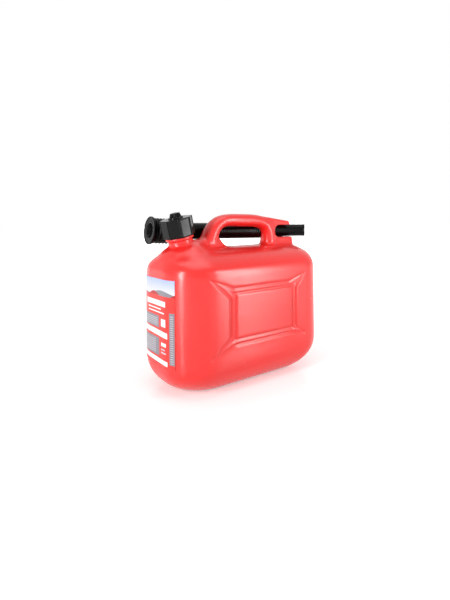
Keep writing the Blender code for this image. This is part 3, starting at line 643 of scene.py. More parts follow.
def rounded_outline(corners):
    """Closed outline through corners given as (x, z, radius), each rounded to an arc."""
    outline = []
    for index, (x, z, radius) in enumerate(corners):
        corner = Vector((x, z))
        before = Vector(corners[index - 1][:2])
        after = Vector(corners[(index + 1) % len(corners)][:2])
        arriving = (corner - before).normalized()
        leaving = (after - corner).normalized()
        turn = arriving.angle_signed(leaving)
        if radius == 0.0:
            outline.append(corner)
            continue
        side = Vector((-arriving.y, arriving.x))
        if side.dot(leaving) < 0.0:
            side = -side
        start = corner - arriving * radius * math.tan(abs(turn) / 2)
        steps = max(2, round(abs(math.degrees(turn)) / ARC_STEP))
        for step in range(steps + 1):
            angle = abs(turn) * step / steps
            sideways = side * radius * (1.0 - math.cos(angle))
            outline.append(start + sideways + arriving * radius * math.sin(angle))
    return outline


def plate(name, corners, half, edge, middle=0.0):
    """Upright plate with the given corners in X and Z, its edges rounded."""
    outline = rounded_outline(corners)
    curve = bpy.data.curves.new(name, "CURVE")
    curve.dimensions = "2D"
    curve.fill_mode = "BOTH"
    spline = curve.splines.new("POLY")
    spline.points.add(len(outline) - 1)
    spline.use_cyclic_u = True
    for place, (x, z) in zip(spline.points, outline):
        place.co = (x, z, 0.0, 1.0)
    curve.offset = -edge
    curve.extrude = half - edge
    curve.bevel_depth = edge
    curve.bevel_resolution = 3
    mesh = evaluated(loose_object(name, curve))
    mesh.transform(Matrix.Translation((0.0, middle, 0.0)) @ Matrix.Rotation(math.radians(90.0), 4, "X"))
    form = bmesh.new()
    form.from_mesh(mesh)
    bpy.data.meshes.remove(mesh)
    return closed_mesh(name, form)


def above_body(corners):
    """Corners with their heights counted from the floor."""
    return [(x, BODY_HEIGHT + rise, radius) for x, rise, radius in corners]


def shoulder_form():
    """The neck's root and the cone that spreads from it over the body."""
    profile = [(0.0, SHOULDER_TOP), (NECK_RADIUS, SHOULDER_TOP), (NECK_RADIUS, -NECK_LENGTH)]
    steps = 12
    for step in range(1, steps + 1):
        share = step / steps
        radius = NECK_RADIUS + (SHOULDER_RADIUS - NECK_RADIUS) * share
        profile.append((radius, -NECK_LENGTH - SHOULDER_DROP * share**SHOULDER_CURVE))
    profile += [(SHOULDER_RADIUS, -NECK_DEPTH), (0.0, -NECK_DEPTH)]
    return spun("shoulder", profile, NECK_FRAME)


def seat_forms():
    """The sleeve round the nozzle, the channel through it and the window on its near side."""
    radius = NOZZLE_RADIUS + SEAT_CLEARANCE + SEAT_WALL
    front, rear = SLEEVE_ENDS
    profile = [(0.0, front), (radius, front), (radius, rear), (0.0, rear)]
    sleeve = spun("sleeve", profile, spout_frame(0.0), 48)
    wide = HOSE_RIB_RADIUS + SEAT_CLEARANCE
    narrow = NOZZLE_RADIUS + SEAT_CLEARANCE
    stop = -HOSE_END - FIT
    front, rear = CHANNEL_ENDS
    profile = [(0.0, front), (wide, front), (wide, stop), (narrow, stop), (narrow, rear), (0.0, rear)]
    channel = spun("channel", profile, spout_frame(0.0), 48)
    level = SPOUT_POINT.z - (WINDOW_X - SPOUT_POINT.x) * math.tan(SPOUT_RISE)
    corners = (
        (WINDOW_X, level - WINDOW_DROP, WINDOW_DROP - WINDOW_EDGE),
        (WINDOW_REAR, level - WINDOW_DROP, 0.0),
        (WINDOW_REAR, level + WINDOW_RISE, 0.0),
        (WINDOW_X, level + WINDOW_RISE, WINDOW_RISE - WINDOW_EDGE),
    )
    inner = SPOUT_POINT.y - (WINDOW_X - SPOUT_POINT.x) * math.tan(SPOUT_YAW) - WINDOW_OVERLAP
    window = plate("window", corners, WINDOW_HALF, 0.0, inner - WINDOW_HALF)
    return sleeve, channel, window


def band_ring(spread, tip_share):
    """Corners of the side frame, spread outwards from the panel, each with its arm's tip."""
    ring = []
    for side, level, (tip_x, tip_z), (along, up) in ARMS:
        x = PANEL_MIDDLE[0] + side * (PANEL_HALF[0] + BAND_WIDTH[0] * spread)
        z = PANEL_MIDDLE[1] + level * (PANEL_HALF[1] + BAND_WIDTH[1] * spread)
        upright = (x, z - level * (BAND_CORNER + (up - BAND_CORNER) * spread))
        flat = (x - side * (BAND_CORNER + (along - BAND_CORNER) * spread), z)
        tip = (x + (tip_x - x) * tip_share, z + (tip_z - z) * tip_share)
        ring += [upright, tip, flat] if side == level else [flat, tip, upright]
    return np.array(ring)


def signed_distance(points, ring):
    """Distance of points to a closed ring of corners, negative inside it."""
    nearest = np.full(len(points), np.inf)
    inside = np.zeros(len(points), dtype=bool)
    for start, end in zip(ring, np.roll(ring, -1, axis=0)):
        along = end - start
        offset = points - start
        share = np.clip(offset @ along / (along @ along), 0.0, 1.0)
        nearest = np.minimum(nearest, np.hypot(*(offset - share[:, None] * along).T))
        crosses = (start[1] > points[:, 1]) != (end[1] > points[:, 1])
        slope = along[0] / along[1] if along[1] else 0.0
        inside ^= crosses & (points[:, 0] < start[0] + (points[:, 1] - start[1]) * slope)
    return np.where(inside, -nearest, nearest)


def band_depths(points):
    """Depth of the pressed frame at points of X and Z: two grooves with a rib between them."""
    rings = [band_ring(spread, tip_share) for spread, tip_share, depth in BAND_RINGS]
    distances = [signed_distance(points, ring) for ring in rings]
    depths = np.zeros(len(points))
    for index, (outer, inner) in enumerate(zip(distances, distances[1:])):
        between = (outer < 0.0) & (inner >= 0.0)
        share = -outer[between] / (inner[between] - outer[between] + 1e-9)
        share = share * share * (3.0 - 2.0 * share)
        from_depth, to_depth = BAND_RINGS[index][2], BAND_RINGS[index + 1][2]
        depths[between] = from_depth + (to_depth - from_depth) * share
    return depths


def finer(mesh, wanted):
    """Splits each face of a mesh whose points are all wanted into four."""
    form = bmesh.new()
    form.from_mesh(mesh)
    kept = {vert for vert, keep in zip(form.verts, wanted) if keep}
    edges = [edge for edge in form.edges if edge.verts[0] in kept and edge.verts[1] in kept]
    bmesh.ops.subdivide_edges(form, edges=edges, cuts=1, use_grid_fill=True)
    bmesh.ops.triangulate(form, faces=[face for face in form.faces if len(face.verts) > 4])
    form.to_mesh(mesh)
    form.free()


def near_bands(places):
    """Which points lie on the side frames, or within a margin of them."""
    flat = np.abs(places[:, 1]) > BODY_WIDTH / 2 - BAND_FLATNESS
    outer = signed_distance(places[:, [0, 2]], band_ring(1.0, 1.0))
    inner = signed_distance(places[:, [0, 2]], band_ring(0.0, 0.0))
    return flat & (outer < BAND_MARGIN) & (inner > -BAND_MARGIN)


def press_frames(mesh, amount):
    """Presses the frame into both sides."""
    places = mesh_points(mesh)
    chosen = near_bands(places)
    depths = band_depths(places[chosen][:, [0, 2]]) * amount
    places[chosen, 1] -= np.sign(places[chosen, 1]) * depths
    move_points(mesh, places)
    even_out(mesh, PRESS_ROUNDS, EVEN_SHARE, strength=chosen.astype(float))


def blend_strength(places):
    """How far hollows are filled: fully at the handle's front foot, less at its rear leg and the neck."""
    axis = np.array(NECK_FRAME.col[2][:3])
    offset = places - np.array(NECK_FRAME.translation)
    along = offset @ axis
    away = np.linalg.norm(offset - along[:, None] * axis, axis=1)
    start, growth, least = NECK_BLEND
    neck = np.clip((away - start) / growth, least, 1.0)
    start, fade, least = REAR_BLEND
    rear = np.clip(1.0 - (places[:, 0] - start) / fade, least, 1.0)
    return np.where(places[:, 2] > BLEND_ABOVE, np.minimum(neck, rear), 0.0)


def can_shell(sizes):
    """The blow-moulded shell: one skin over the body, neck root, handle, foot and web."""
    sleeve, channel, window = seat_forms()
    steps = (
        ("UNION", handle_form(sizes.handle_half)),
        ("UNION", plate("foot", above_body(FOOT_LINE), FOOT_HALF, FOOT_ROUND)),
        ("UNION", plate("web", above_body(WEB_LINE), WEB_HALF, WEB_ROUND)),
        ("UNION", shoulder_form()),
        ("UNION", sleeve),
        ("DIFFERENCE", channel),
        ("DIFFERENCE", window),
    )
    form = combined("form", body_form("body", 0.0, steps=24, levels=20), steps)
    target = loose_object("form", form)
    obj = loose_object("can_shell", form.copy())
    remesh = obj.modifiers.new("one_skin", "REMESH")
    remesh.mode = "VOXEL"
    remesh.voxel_size = sizes.voxel
    fit = obj.modifiers.new("on_the_form", "SHRINKWRAP")
    fit.target = target
    mesh = evaluated(obj)
    bpy.data.objects.remove(target)
    even_out(mesh, 1, EVEN_SHARE)
    even_out(mesh, BLEND_ROUNDS, EVEN_SHARE, fills=1.0, strength=blend_strength(mesh_points(mesh)))
    places = mesh_points(mesh)
    finer(mesh, near_bands(places) | (places[:, 2] > FINE_ABOVE))
    even_out(mesh, EVEN_ROUNDS, EVEN_SHARE)
    press_frames(mesh, sizes.band_depth)
    top, low = SHELL_BORE_ENDS
    bore = [(0.0, top), (SHELL_BORE_RADIUS, top), (SHELL_BORE_RADIUS, low), (0.0, low)]
    hollow = (
        ("DIFFERENCE", body_form("cavity", -WALL - CAVITY_MARGIN, steps=8, levels=6)),
        ("DIFFERENCE", spun("bore", bore, NECK_FRAME, 48)),
    )
    return combined("can_shell", mesh, hollow)


# Label


def label_mesh():
    """The printed film, wrapped round the front; its map is in metres, across and up."""
    columns, rows = 96, 48
    form = bmesh.new()
    bmesh.ops.create_grid(form, x_segments=columns, y_segments=rows, size=0.5)
    sheet = form.loops.layers.uv.new("sheet")
    outlines = {}
    for vert in form.verts:
        height = LABEL_LOW + (LABEL_TOP - LABEL_LOW) * (vert.co.y + 0.5)
        across = LABEL_HALF_WIDTH * 2.0 * vert.co.x
        key = round(height, 6)
        if key not in outlines:
            line = [point for point in body_outline(height, FIT + LABEL_THICKNESS, 96) if point.x < 0.0]
            line.sort(key=lambda point: point.y)
            outlines[key] = np.array(line)
        x = np.interp(across, outlines[key][:, 1], outlines[key][:, 0])
        vert.co = (x, across, height)
    for face in form.faces:
        for loop in face.loops:
            loop[sheet].uv = (-loop.vert.co.y, loop.vert.co.z)
    back = bmesh.ops.extrude_face_region(form, geom=form.faces[:], use_keep_orig=True)
    for vert in back["geom"]:
        if isinstance(vert, bmesh.types.BMVert):
            vert.co.x += LABEL_THICKNESS
    return closed_mesh("printed_label", form)


# Cap and neck


def neck_finish_mesh():
    """The neck's bead, thread and rim."""
    profile = [
        (NECK_BORE_RADIUS, NECK_RIM - 0.0003),
        (NECK_BORE_RADIUS + 0.0003, NECK_RIM),
        (THREAD_ROOT_RADIUS - 0.0005, NECK_RIM),
        (THREAD_ROOT_RADIUS, NECK_RIM - 0.0005),
        (THREAD_ROOT_RADIUS, BEAD_TOP + 0.0004),
        (THREAD_ROOT_RADIUS + 0.0004, BEAD_TOP),
        (BEAD_RADIUS - 0.0008, BEAD_TOP),
        (BEAD_RADIUS - 0.0002, BEAD_TOP - 0.0003),
        (BEAD_RADIUS, BEAD_TOP - 0.0009),
        (BEAD_RADIUS, BEAD_LOW + 0.0012),
        (BEAD_RADIUS - 0.0003, BEAD_LOW + 0.0005),
        (BEAD_RADIUS - 0.0010, BEAD_LOW + 0.0001),
        (NECK_RADIUS + 0.0006, BEAD_LOW - 0.0003),
        (NECK_RADIUS + 0.0001, BEAD_LOW - 0.0010),
        (NECK_RADIUS - 0.0008, BEAD_LOW - 0.0022),
        (NECK_RADIUS - 0.0008, NECK_FINISH_LOW),
        (NECK_BORE_RADIUS, NECK_FINISH_LOW),
    ]
    thread = thread_mesh(THREAD_ROOT_RADIUS, THREAD_START)
    return joined("neck_finish", [spun("neck_finish", profile, NECK_FRAME), thread])


def cap_radius(angle):
    """Radius of the ring nut at an angle: nearly flat lobes with a narrow raised rib between each two."""
    pitch = 2.0 * math.pi / CAP_LOBES
    off_rib = abs((angle - CAP_RIB_TURN + pitch / 2) % pitch - pitch / 2)
    rib = math.exp(-((off_rib * CAP_RADIUS / (CAP_RIB_WIDTH / 2)) ** CAP_RIB_STEEPNESS))
    lobe = min(CAP_FLAT_RADIUS / math.cos(pitch / 2 - off_rib), CAP_RADIUS)
    return lobe + (CAP_RADIUS + CAP_RIB_HEIGHT - lobe) * rib


def cap_ring_mesh():
    """Ring nut: a lobed skirt with an inward lip at the top."""
    columns = CAP_LOBES * 36
    # each line of the section: height, radius or offset from the lobes, and whether it is round
    section = (
        (0.0000, -0.0006, False),
        (0.0004, -0.0003, False),
        (0.0020, -0.0003, False),
        (0.0240, 0.0, False),
        (CAP_HEIGHT - 0.0010, 0.0, False),
        (CAP_HEIGHT - 0.0006, -0.0001, False),
        (CAP_HEIGHT - 0.0003, -0.0003, False),
        (CAP_HEIGHT - 0.0001, -0.0006, False),
        (CAP_HEIGHT, -0.0010, False),
        (CAP_HEIGHT, -0.0020, False),
        (CAP_HEIGHT, CAP_HOLE_RADIUS + 0.0003, True),
        (CAP_HEIGHT - 0.0003, CAP_HOLE_RADIUS, True),
        (CAP_HEIGHT - CAP_TOP_WALL, CAP_HOLE_RADIUS, True),
        (CAP_HEIGHT - CAP_TOP_WALL, CAP_INNER_RADIUS, True),
        (0.0004, CAP_INNER_RADIUS, True),
        (0.0000, CAP_INNER_RADIUS + 0.0004, True),
    )

    def point(column, row):
        angle = 2.0 * math.pi * column / columns
        height, offset, round_shape = section[row % len(section)]
        return round_point(offset if round_shape else cap_radius(angle) + offset, angle, height)

    ring = skinned("cap_ring_nut", columns, len(section), point, NECK_FRAME)
    thread = thread_mesh(CAP_INNER_RADIUS, THREAD_START + THREAD_PITCH / 2)
    return joined("cap_ring_nut", [ring, thread])


def cap_plug_mesh(knob_height):
    """Insert plug: a hollow spigot, a flange, a stepped hub and a fluted knob."""
    flange_top = CAP_HEIGHT - CAP_TOP_WALL - FIT
    flange_low = flange_top - PLUG_FLANGE
    spigot_low = flange_low - PLUG_SPIGOT_LENGTH
    flange_radius = CAP_INNER_RADIUS - FIT
    hub = CAP_HOLE_RADIUS - FIT
    spigot = NECK_BORE_RADIUS - FIT
    knob_top = PLUG_TOP + knob_height
    columns = 128
    # each line of the section: radius, height, and how much of the flutes it has
    section = (
        (0.0, knob_top - 0.0004, 0.0),
        (KNOB_TOP_RADIUS - 0.0030, knob_top - 0.0004, 0.0),
        (KNOB_TOP_RADIUS - 0.0024, knob_top, 0.0),
        (KNOB_TOP_RADIUS - 0.0006, knob_top, 0.6),
        (KNOB_TOP_RADIUS - 0.0001, knob_top - 0.0003, 0.9),
        (KNOB_TOP_RADIUS + 0.0001, knob_top - 0.0009, 1.0),
        (KNOB_BASE_RADIUS - 0.0005, PLUG_TOP + 0.0006, 1.0),
        (KNOB_BASE_RADIUS, PLUG_TOP, 0.3),
        (PLUG_STEP_RADIUS - 0.0006, PLUG_TOP, 0.0),
        (PLUG_STEP_RADIUS - 0.0002, PLUG_TOP - 0.0003, 0.0),
        (PLUG_STEP_RADIUS, CAP_HEIGHT, 0.0),
        (hub, CAP_HEIGHT, 0.0),
        (hub, flange_top, 0.0),
        (flange_radius, flange_top, 0.0),
        (flange_radius, flange_low, 0.0),
        (spigot, flange_low, 0.0),
        (spigot, spigot_low + 0.0006, 0.0),
        (spigot - 0.0006, spigot_low, 0.0),
        (spigot - PLUG_WALL, spigot_low, 0.0),
        (spigot - PLUG_WALL, CAP_HEIGHT - PLUG_WALL, 0.0),
        (0.0, CAP_HEIGHT - PLUG_WALL, 0.0),
    )

    def point(column, row):
        angle = 2.0 * math.pi * column / columns
        radius, height, fluted = section[row]
        wave = abs(math.cos(KNOB_FLUTES / 2 * angle)) ** KNOB_FLUTE_SHAPE
        return round_point(radius + KNOB_FLUTE_DEPTH * (wave - 1.0) * fluted, angle, height)

    return skinned("cap_plug_knob", columns, len(section) - 1, point, NECK_FRAME)


# Spout


def nozzle_mesh():
    """Smooth nozzle with a lip and a slanted tip."""
    tip = -HOSE_END - NOZZLE_LENGTH
    shoulder = -HOSE_END - FIT
    spigot = HOSE_BORE_RADIUS - FIT
    bore = NOZZLE_RADIUS - NOZZLE_WALL
    profile = [
        (spigot, shoulder + TUBE_SPIGOT_LENGTH),
        (spigot, shoulder),
        (NOZZLE_RADIUS - 0.0005, shoulder),
        (NOZZLE_RADIUS, shoulder - 0.0005),
        (NOZZLE_RADIUS, tip + NOZZLE_LIP_LENGTH + 0.0004),
        (NOZZLE_LIP_RADIUS, tip + NOZZLE_LIP_LENGTH - 0.0002),
        (NOZZLE_LIP_RADIUS, tip + 0.0006),
        (NOZZLE_LIP_RADIUS - 0.0002, tip + 0.0002),
        (NOZZLE_LIP_RADIUS - 0.0006, tip),
        (bore + 0.0003, tip),
        (bore, tip + 0.0003),
        (bore, shoulder - 0.0030),
        (spigot - NOZZLE_WALL, shoulder),
        (spigot - NOZZLE_WALL, shoulder + TUBE_SPIGOT_LENGTH),
    ]
    mesh = spun("nozzle", profile, Matrix.Identity(4))
    for vert in mesh.vertices:
        if vert.co.z < tip + 2.0 * NOZZLE_LIP_LENGTH:
            vert.co.z += math.tan(NOZZLE_SLANT) * vert.co.x
    mesh.transform(spout_frame(0.0))
    return mesh


def hose_mesh():
    """Corrugated hose: a rounded rib and a rounded valley to each pitch."""
    pitch = HOSE_LENGTH / HOSE_RIBS
    middle = (HOSE_RIB_RADIUS + HOSE_VALLEY_RADIUS) / 2
    swing = (HOSE_RIB_RADIUS - HOSE_VALLEY_RADIUS) / 2
    steps = 8
    profile = []
    for step in range(HOSE_RIBS * steps + 1):
        wave = math.cos(2.0 * math.pi * step / steps)
        shaped = math.copysign(abs(wave) ** HOSE_RIB_SHAPE, wave)
        profile.append((middle - swing * shaped, -HOSE_END + pitch * step / steps))
    profile += [(HOSE_BORE_RADIUS, -HOSE_END + HOSE_LENGTH), (HOSE_BORE_RADIUS, -HOSE_END)]
    return spun("hose", profile, spout_frame(0.0), 64)


def collar_mesh():
    """Smooth tube between the hose and the base."""
    low = -HOSE_END + HOSE_LENGTH + FIT
    top = low + COLLAR_LENGTH
    spigot = HOSE_BORE_RADIUS - FIT
    profile = [
        (COLLAR_TONGUE_RADIUS, top + COLLAR_TONGUE_LENGTH),
        (COLLAR_TONGUE_RADIUS, top),
        (COLLAR_RADIUS - 0.0003, top),
        (COLLAR_RADIUS, top - 0.0003),
        (COLLAR_RADIUS, low + 0.0006),
        (COLLAR_RADIUS - 0.0002, low + 0.0002),
        (COLLAR_RADIUS - 0.0006, low),
        (spigot, low),
        (spigot, low - TUBE_SPIGOT_LENGTH),
        (spigot - COLLAR_WALL, low - TUBE_SPIGOT_LENGTH),
        (spigot - COLLAR_WALL, top + COLLAR_TONGUE_LENGTH),
    ]
    return spun("collar", profile, spout_frame(0.0))


def base_frame():
    """Frame at the foot of the spout's base, with +X on the side that the base curves towards."""
    start = -HOSE_END + HOSE_LENGTH + FIT + COLLAR_LENGTH + FIT
    return spout_frame(start) @ Matrix.Rotation(BELLOWS_BEND_TURN, 4, "Z")


def bent(mesh):
    """Curves a mesh made along +Z towards +X, steadily from the base's foot to its mouth."""
    radius = BASE_LENGTH / BELLOWS_BEND
    for vert in mesh.vertices:
        along = max(vert.co.z, 0.0)
        angle = along / radius
        across = radius - vert.co.x
        vert.co.x = radius - across * math.cos(angle)
        vert.co.z += across * math.sin(angle) - along
    return mesh


def base_mesh():
    """Base of the spout: a socket, bellows with rounded ribs, and a flange with a cup."""
    mouth = BASE_LENGTH
    flange_low = mouth - FLANGE_THICKNESS
    socket = COLLAR_RADIUS - SOCKET_WALL
    profile = [
        (CUP_BORE_RADIUS, mouth - CUP_LIP),
        (CUP_BORE_RADIUS + 0.0004, mouth - CUP_LIP + 0.0004),
        (CUP_SPIGOT_RADIUS - 0.0004, mouth - CUP_LIP + 0.0004),
        (CUP_SPIGOT_RADIUS, mouth - CUP_LIP),
        (CUP_SPIGOT_RADIUS, mouth - CUP_DEPTH),
        (CUP_RADIUS, mouth - CUP_DEPTH),
        (CUP_RADIUS, mouth - 0.0006),
        (CUP_RADIUS + 0.0002, mouth - 0.0002),
        (CUP_RADIUS + 0.0007, mouth),
        (FLANGE_RADIUS - 0.0007, mouth),
        (FLANGE_RADIUS - 0.0002, mouth - 0.0003),
        (FLANGE_RADIUS, mouth - 0.0009),
        (FLANGE_RADIUS, flange_low + 0.0009),
        (FLANGE_RADIUS - 0.0003, flange_low + 0.0003),
        (FLANGE_RADIUS - 0.0009, flange_low),
    ]
    for rib in range(BELLOWS_RIBS):
        top = flange_low - rib * BELLOWS_PITCH
        for share, rise in BELLOWS_RIB_LINE:
            radius = BELLOWS_VALLEY_RADIUS + (BELLOWS_RIB_RADIUS - BELLOWS_VALLEY_RADIUS) * rise
            profile.append((radius, top - BELLOWS_PITCH * share))
    profile += [
        (BELLOWS_VALLEY_RADIUS - 0.0010, BASE_CONE_LENGTH * 2 - 0.0012),
        (COLLAR_RADIUS + 0.0006, BASE_CONE_LENGTH + 0.0006),
        (COLLAR_RADIUS + 0.0001, BASE_CONE_LENGTH - 0.0006),
        (COLLAR_RADIUS, 0.0),
        (socket, 0.0),
        (socket, BASE_CONE_LENGTH + 0.0008),
        (CUP_BORE_RADIUS, BASE_CONE_LENGTH * 2),
    ]
    mesh = bent(spun("base", profile, Matrix.Identity(4)))
    mesh.transform(base_frame())
    return mesh


# Finishes


def add_node(tree, kind, inputs, **settings):
    """Adds a node: inputs are its sockets' values or links, settings its properties."""
    node = tree.nodes.new(kind)
    for key, value in settings.items():
        setattr(node, key, value)
    for key, value in inputs.items():
        if isinstance(value, bpy.types.NodeSocket):
            tree.links.new(value, node.inputs[key])
        else:
            node.inputs[key].default_value = value
    return node


def new_material(name):
    """A material with its node tree and the sockets of its shader."""
    material = bpy.data.materials.new(name)
    material.use_nodes = True
    tree = material.node_tree
    return material, tree, tree.nodes["Principled BSDF"].inputs


def set_inputs(sockets, values):
    """Sets plain values on a shader's own sockets."""
    for key, value in values.items():
        sockets[key].default_value = value


def give_skin(tree, surface, marks, gloss, relief, strength, depth):
    """Gloss that wanders between two roughnesses over the marks, and a skin with a relief."""
    rough = add_node(tree, "ShaderNodeMapRange", {"Value": marks, "To Min": gloss[0], "To Max": gloss[1]})
    tree.links.new(rough.outputs["Result"], surface["Roughness"])
    bump = add_node(
        tree,
        "ShaderNodeBump",
        {"Height": relief, "Strength": strength, "Distance": depth / PER_METRE},
    )
    tree.links.new(bump.outputs["Normal"], surface["Normal"])


def blow_moulded_polyethylene(colour):
    """Natural satin of blow-moulded polyethylene: a soft sheen over a faint orange-peel skin."""
    material, tree, surface = new_material("blow_moulded_polyethylene")
    spot = add_node(tree, "ShaderNodeTexCoord", {}).outputs["Object"]
    clouds, marks, peel = (
        add_node(tree, "ShaderNodeTexNoise", {"Vector": spot, "Scale": PER_METRE / size, "Detail": fine})
        for size, fine in (
            # cloudiness of the pigment, about 40 mm across
            (40.0, 2.0),
            # moulding marks about 5 mm apart that break up the gloss
            (5.0, 3.0),
            # orange-peel skin, about 1.2 mm to a dimple
            (1.2048, 2.0),
        )
    )
    deeper = tuple(value * 0.93 for value in colour[:3])
    tint = add_node(
        tree,
        "ShaderNodeMix",
        {"Factor": clouds.outputs["Fac"], "A": tuple(colour), "B": (*deeper, 1.0)},
        data_type="RGBA",
    )
    tree.links.new(tint.outputs["Result"], surface["Base Color"])
    give_skin(tree, surface, marks.outputs["Fac"], (0.22, 0.29), peel.outputs["Fac"], 0.25, 0.05)
    set_inputs(
        surface,
        {
            "IOR": 1.51,
            "Subsurface Weight": 0.06,
            "Subsurface Radius": (1.0, 0.25, 0.2),
            "Subsurface Scale": 0.004,
        },
    )
    return material


def moulded_black(name, colour, shine, gloss, grain, depth):
    """Black plastic or rubber, with a shine of its own over a moulded grain of a size and a depth in mm."""
    material, tree, surface = new_material(name)
    spot = add_node(tree, "ShaderNodeTexCoord", {}).outputs["Object"]
    dust, pits = (
        add_node(tree, "ShaderNodeTexNoise", {"Vector": spot, "Scale": PER_METRE / size, "Detail": fine})
        for size, fine in ((8.3333, 4.0), (grain, 2.0))
    )
    # handling dust in patches about 8 mm across lifts the black and dulls its gloss
    lighter = tuple(value * 1.35 + 0.0005 for value in colour[:3])
    tint = add_node(
        tree,
        "ShaderNodeMix",
        {"Factor": dust.outputs["Fac"], "A": tuple(colour), "B": (*lighter, 1.0)},
        data_type="RGBA",
    )
    tree.links.new(tint.outputs["Result"], surface["Base Color"])
    give_skin(tree, surface, dust.outputs["Fac"], gloss, pits.outputs["Fac"], 0.3, depth)
    set_inputs(surface, {"IOR": 1.49, "Specular IOR Level": shine})
    return material


def printed_box(tree, place, left, right, low, high):
    """1 inside a box of the print, whose sides are given in millimetres or by a socket."""
    across, up = place
    mask = 1.0
    for operation, along, side in (
        ("GREATER_THAN", across, left),
        ("LESS_THAN", across, right),
        ("GREATER_THAN", up, low),
        ("LESS_THAN", up, high),
    ):
        inside = add_node(tree, "ShaderNodeMath", {0: along, 1: side}, operation=operation)
        both = add_node(tree, "ShaderNodeMath", {0: mask, 1: inside.outputs[0]}, operation="MULTIPLY")
        mask = both.outputs[0]
    return mask


def ruled_box(tree, place, left, right, low, high, pitch, share):
    """1 on lines ruled across a box at a pitch in millimetres, each as wide as a share of it."""
    line = place[1]
    for operation, value in (
        ("DIVIDE", pitch),
        ("FRACT", 0.0),
        ("LESS_THAN", share),
        ("MULTIPLY", printed_box(tree, place, left, right, low, high)),
    ):
        line = add_node(tree, "ShaderNodeMath", {0: line, 1: value}, operation=operation).outputs[0]
    return line


def hill_line(tree, across, length, start, tall, base):
    """Height of a range of hills, as a plain wave."""
    line = across
    for operation, factor, shift in (
        ("MULTIPLY_ADD", 1.0 / length, start),
        ("SINE", 0.0, 0.0),
        ("MULTIPLY_ADD", tall, base),
    ):
        step = {0: line, 1: factor, 2: shift}
        line = add_node(tree, "ShaderNodeMath", step, operation=operation).outputs[0]
    return line


def printed_film(red):
    """Glossy printed polypropylene film: crisp inks under a clear face with a faint ripple."""
    material, tree, surface = new_material("printed_polypropylene_film")
    sheet = add_node(tree, "ShaderNodeUVMap", {}, uv_map="sheet").outputs["UV"]
    scale = {"Vector": sheet, "Scale": PER_METRE}
    place = add_node(tree, "ShaderNodeVectorMath", scale, operation="SCALE").outputs["Vector"]
    across, up, _ = add_node(tree, "ShaderNodeSeparateXYZ", {"Vector": place}).outputs
    flat = (across, up)
    # the bands sag by 3 mm from end to end
    sag = {0: across, 1: 0.04, 2: up}
    swung = (across, add_node(tree, "ShaderNodeMath", sag, operation="MULTIPLY_ADD").outputs[0])
    white = linear("#F4F3F2")
    grey = linear("#87838B")
    pale = linear("#C9C6CC")
    # sky that fades upwards from a pale haze to a light blue; its sides lie past the sheet's edges
    sky_foot, sky_top = 137.0, 160.0
    haze = add_node(tree, "ShaderNodeMapRange", {"Value": up, "From Min": sky_foot, "From Max": sky_top})
    sky = add_node(
        tree,
        "ShaderNodeMix",
        {"Factor": haze.outputs["Result"], "A": linear("#E4E2EC"), "B": linear("#AAB9E4")},
        data_type="RGBA",
    )
    inks = [(sky.outputs["Result"], printed_box(tree, flat, -60.0, 60.0, sky_foot, sky_top + 1.0))]
    # three ranges of hills along the foot of the sky: length and start of the wave, height and level
    for ink, hill in (
        (grey, (14.0, 0.4, 3.5, 141.0)),
        (linear("#B3221E"), (9.0, 2.2, 4.5, 137.5)),
        (linear("#34343A"), (19.0, 4.0, 2.5, 136.5)),
    ):
        ridge = hill_line(tree, across, *hill)
        inks.append((ink, printed_box(tree, flat, -60.0, 60.0, sky_foot, ridge)))
    # panels, bands and plain bars: left, right, low and high side in millimetres
    for place, ink, *box in (
        (flat, white, -30.0, 26.0, 122.5, 130.0),
        (flat, white, -24.0, 14.0, 117.4, 119.2),
        (flat, white, -24.0, 23.0, 112.6, 114.4),
        (flat, grey, -43.5, 8.0, 92.0, 108.5),
        (flat, white, 14.0, 26.0, 95.0, 105.5),
        (swung, white, -43.5, 30.0, 81.0, 89.0),
        (flat, grey, -43.5, 8.0, 53.0, 78.0),
        (flat, white, 14.0, 27.0, 68.0, 73.0),
        (flat, pale, 14.0, 24.0, 62.5, 64.5),
        (flat, pale, 14.0, 27.0, 58.0, 60.0),
        (swung, white, -43.5, 30.0, 43.5, 50.0),
        (flat, grey, 34.0, 43.0, 46.0, 116.0),
    ):
        inks.append((ink, printed_box(tree, place, *box)))
    # finer lines ruled on the grey panels: the four sides, the pitch, and the line's share of it
    for ruling in (
        (-40.0, 4.0, 94.0, 106.5, 2.6, 0.36),
        (-40.0, -2.0, 55.0, 76.0, 2.8, 0.36),
        (36.0, 41.0, 48.0, 114.0, 3.0, 0.30),
    ):
        inks.append((pale, ruled_box(tree, flat, *ruling)))
    print_so_far = tuple(red)
    for ink, mask in inks:
        laid = {"Factor": mask, "A": print_so_far, "B": ink}
        print_so_far = add_node(tree, "ShaderNodeMix", laid, data_type="RGBA").outputs["Result"]
    tree.links.new(print_so_far, surface["Base Color"])
    # ripple of the film over the moulding, about 6 mm across
    spot = add_node(tree, "ShaderNodeTexCoord", {}).outputs["Object"]
    noise = {"Vector": spot, "Scale": PER_METRE / 6.25, "Detail": 1.0}
    ripple = add_node(tree, "ShaderNodeTexNoise", noise).outputs["Fac"]
    give_skin(tree, surface, ripple, (0.28, 0.36), ripple, 0.2, 0.2)
    set_inputs(surface, {"IOR": 1.5, "Specular IOR Level": 0.4})
    return material


# Stage


def seen_directly(tree):
    """Factor that is 1 for rays that see a backdrop directly, in a reflection or through glass."""
    path = add_node(tree, "ShaderNodeLightPath", {}).outputs
    seen = path["Is Camera Ray"]
    for kind in ("Is Glossy Ray", "Is Transmission Ray"):
        seen = add_node(tree, "ShaderNodeMath", {0: seen, 1: path[kind]}, operation="MAXIMUM").outputs[0]
    return seen


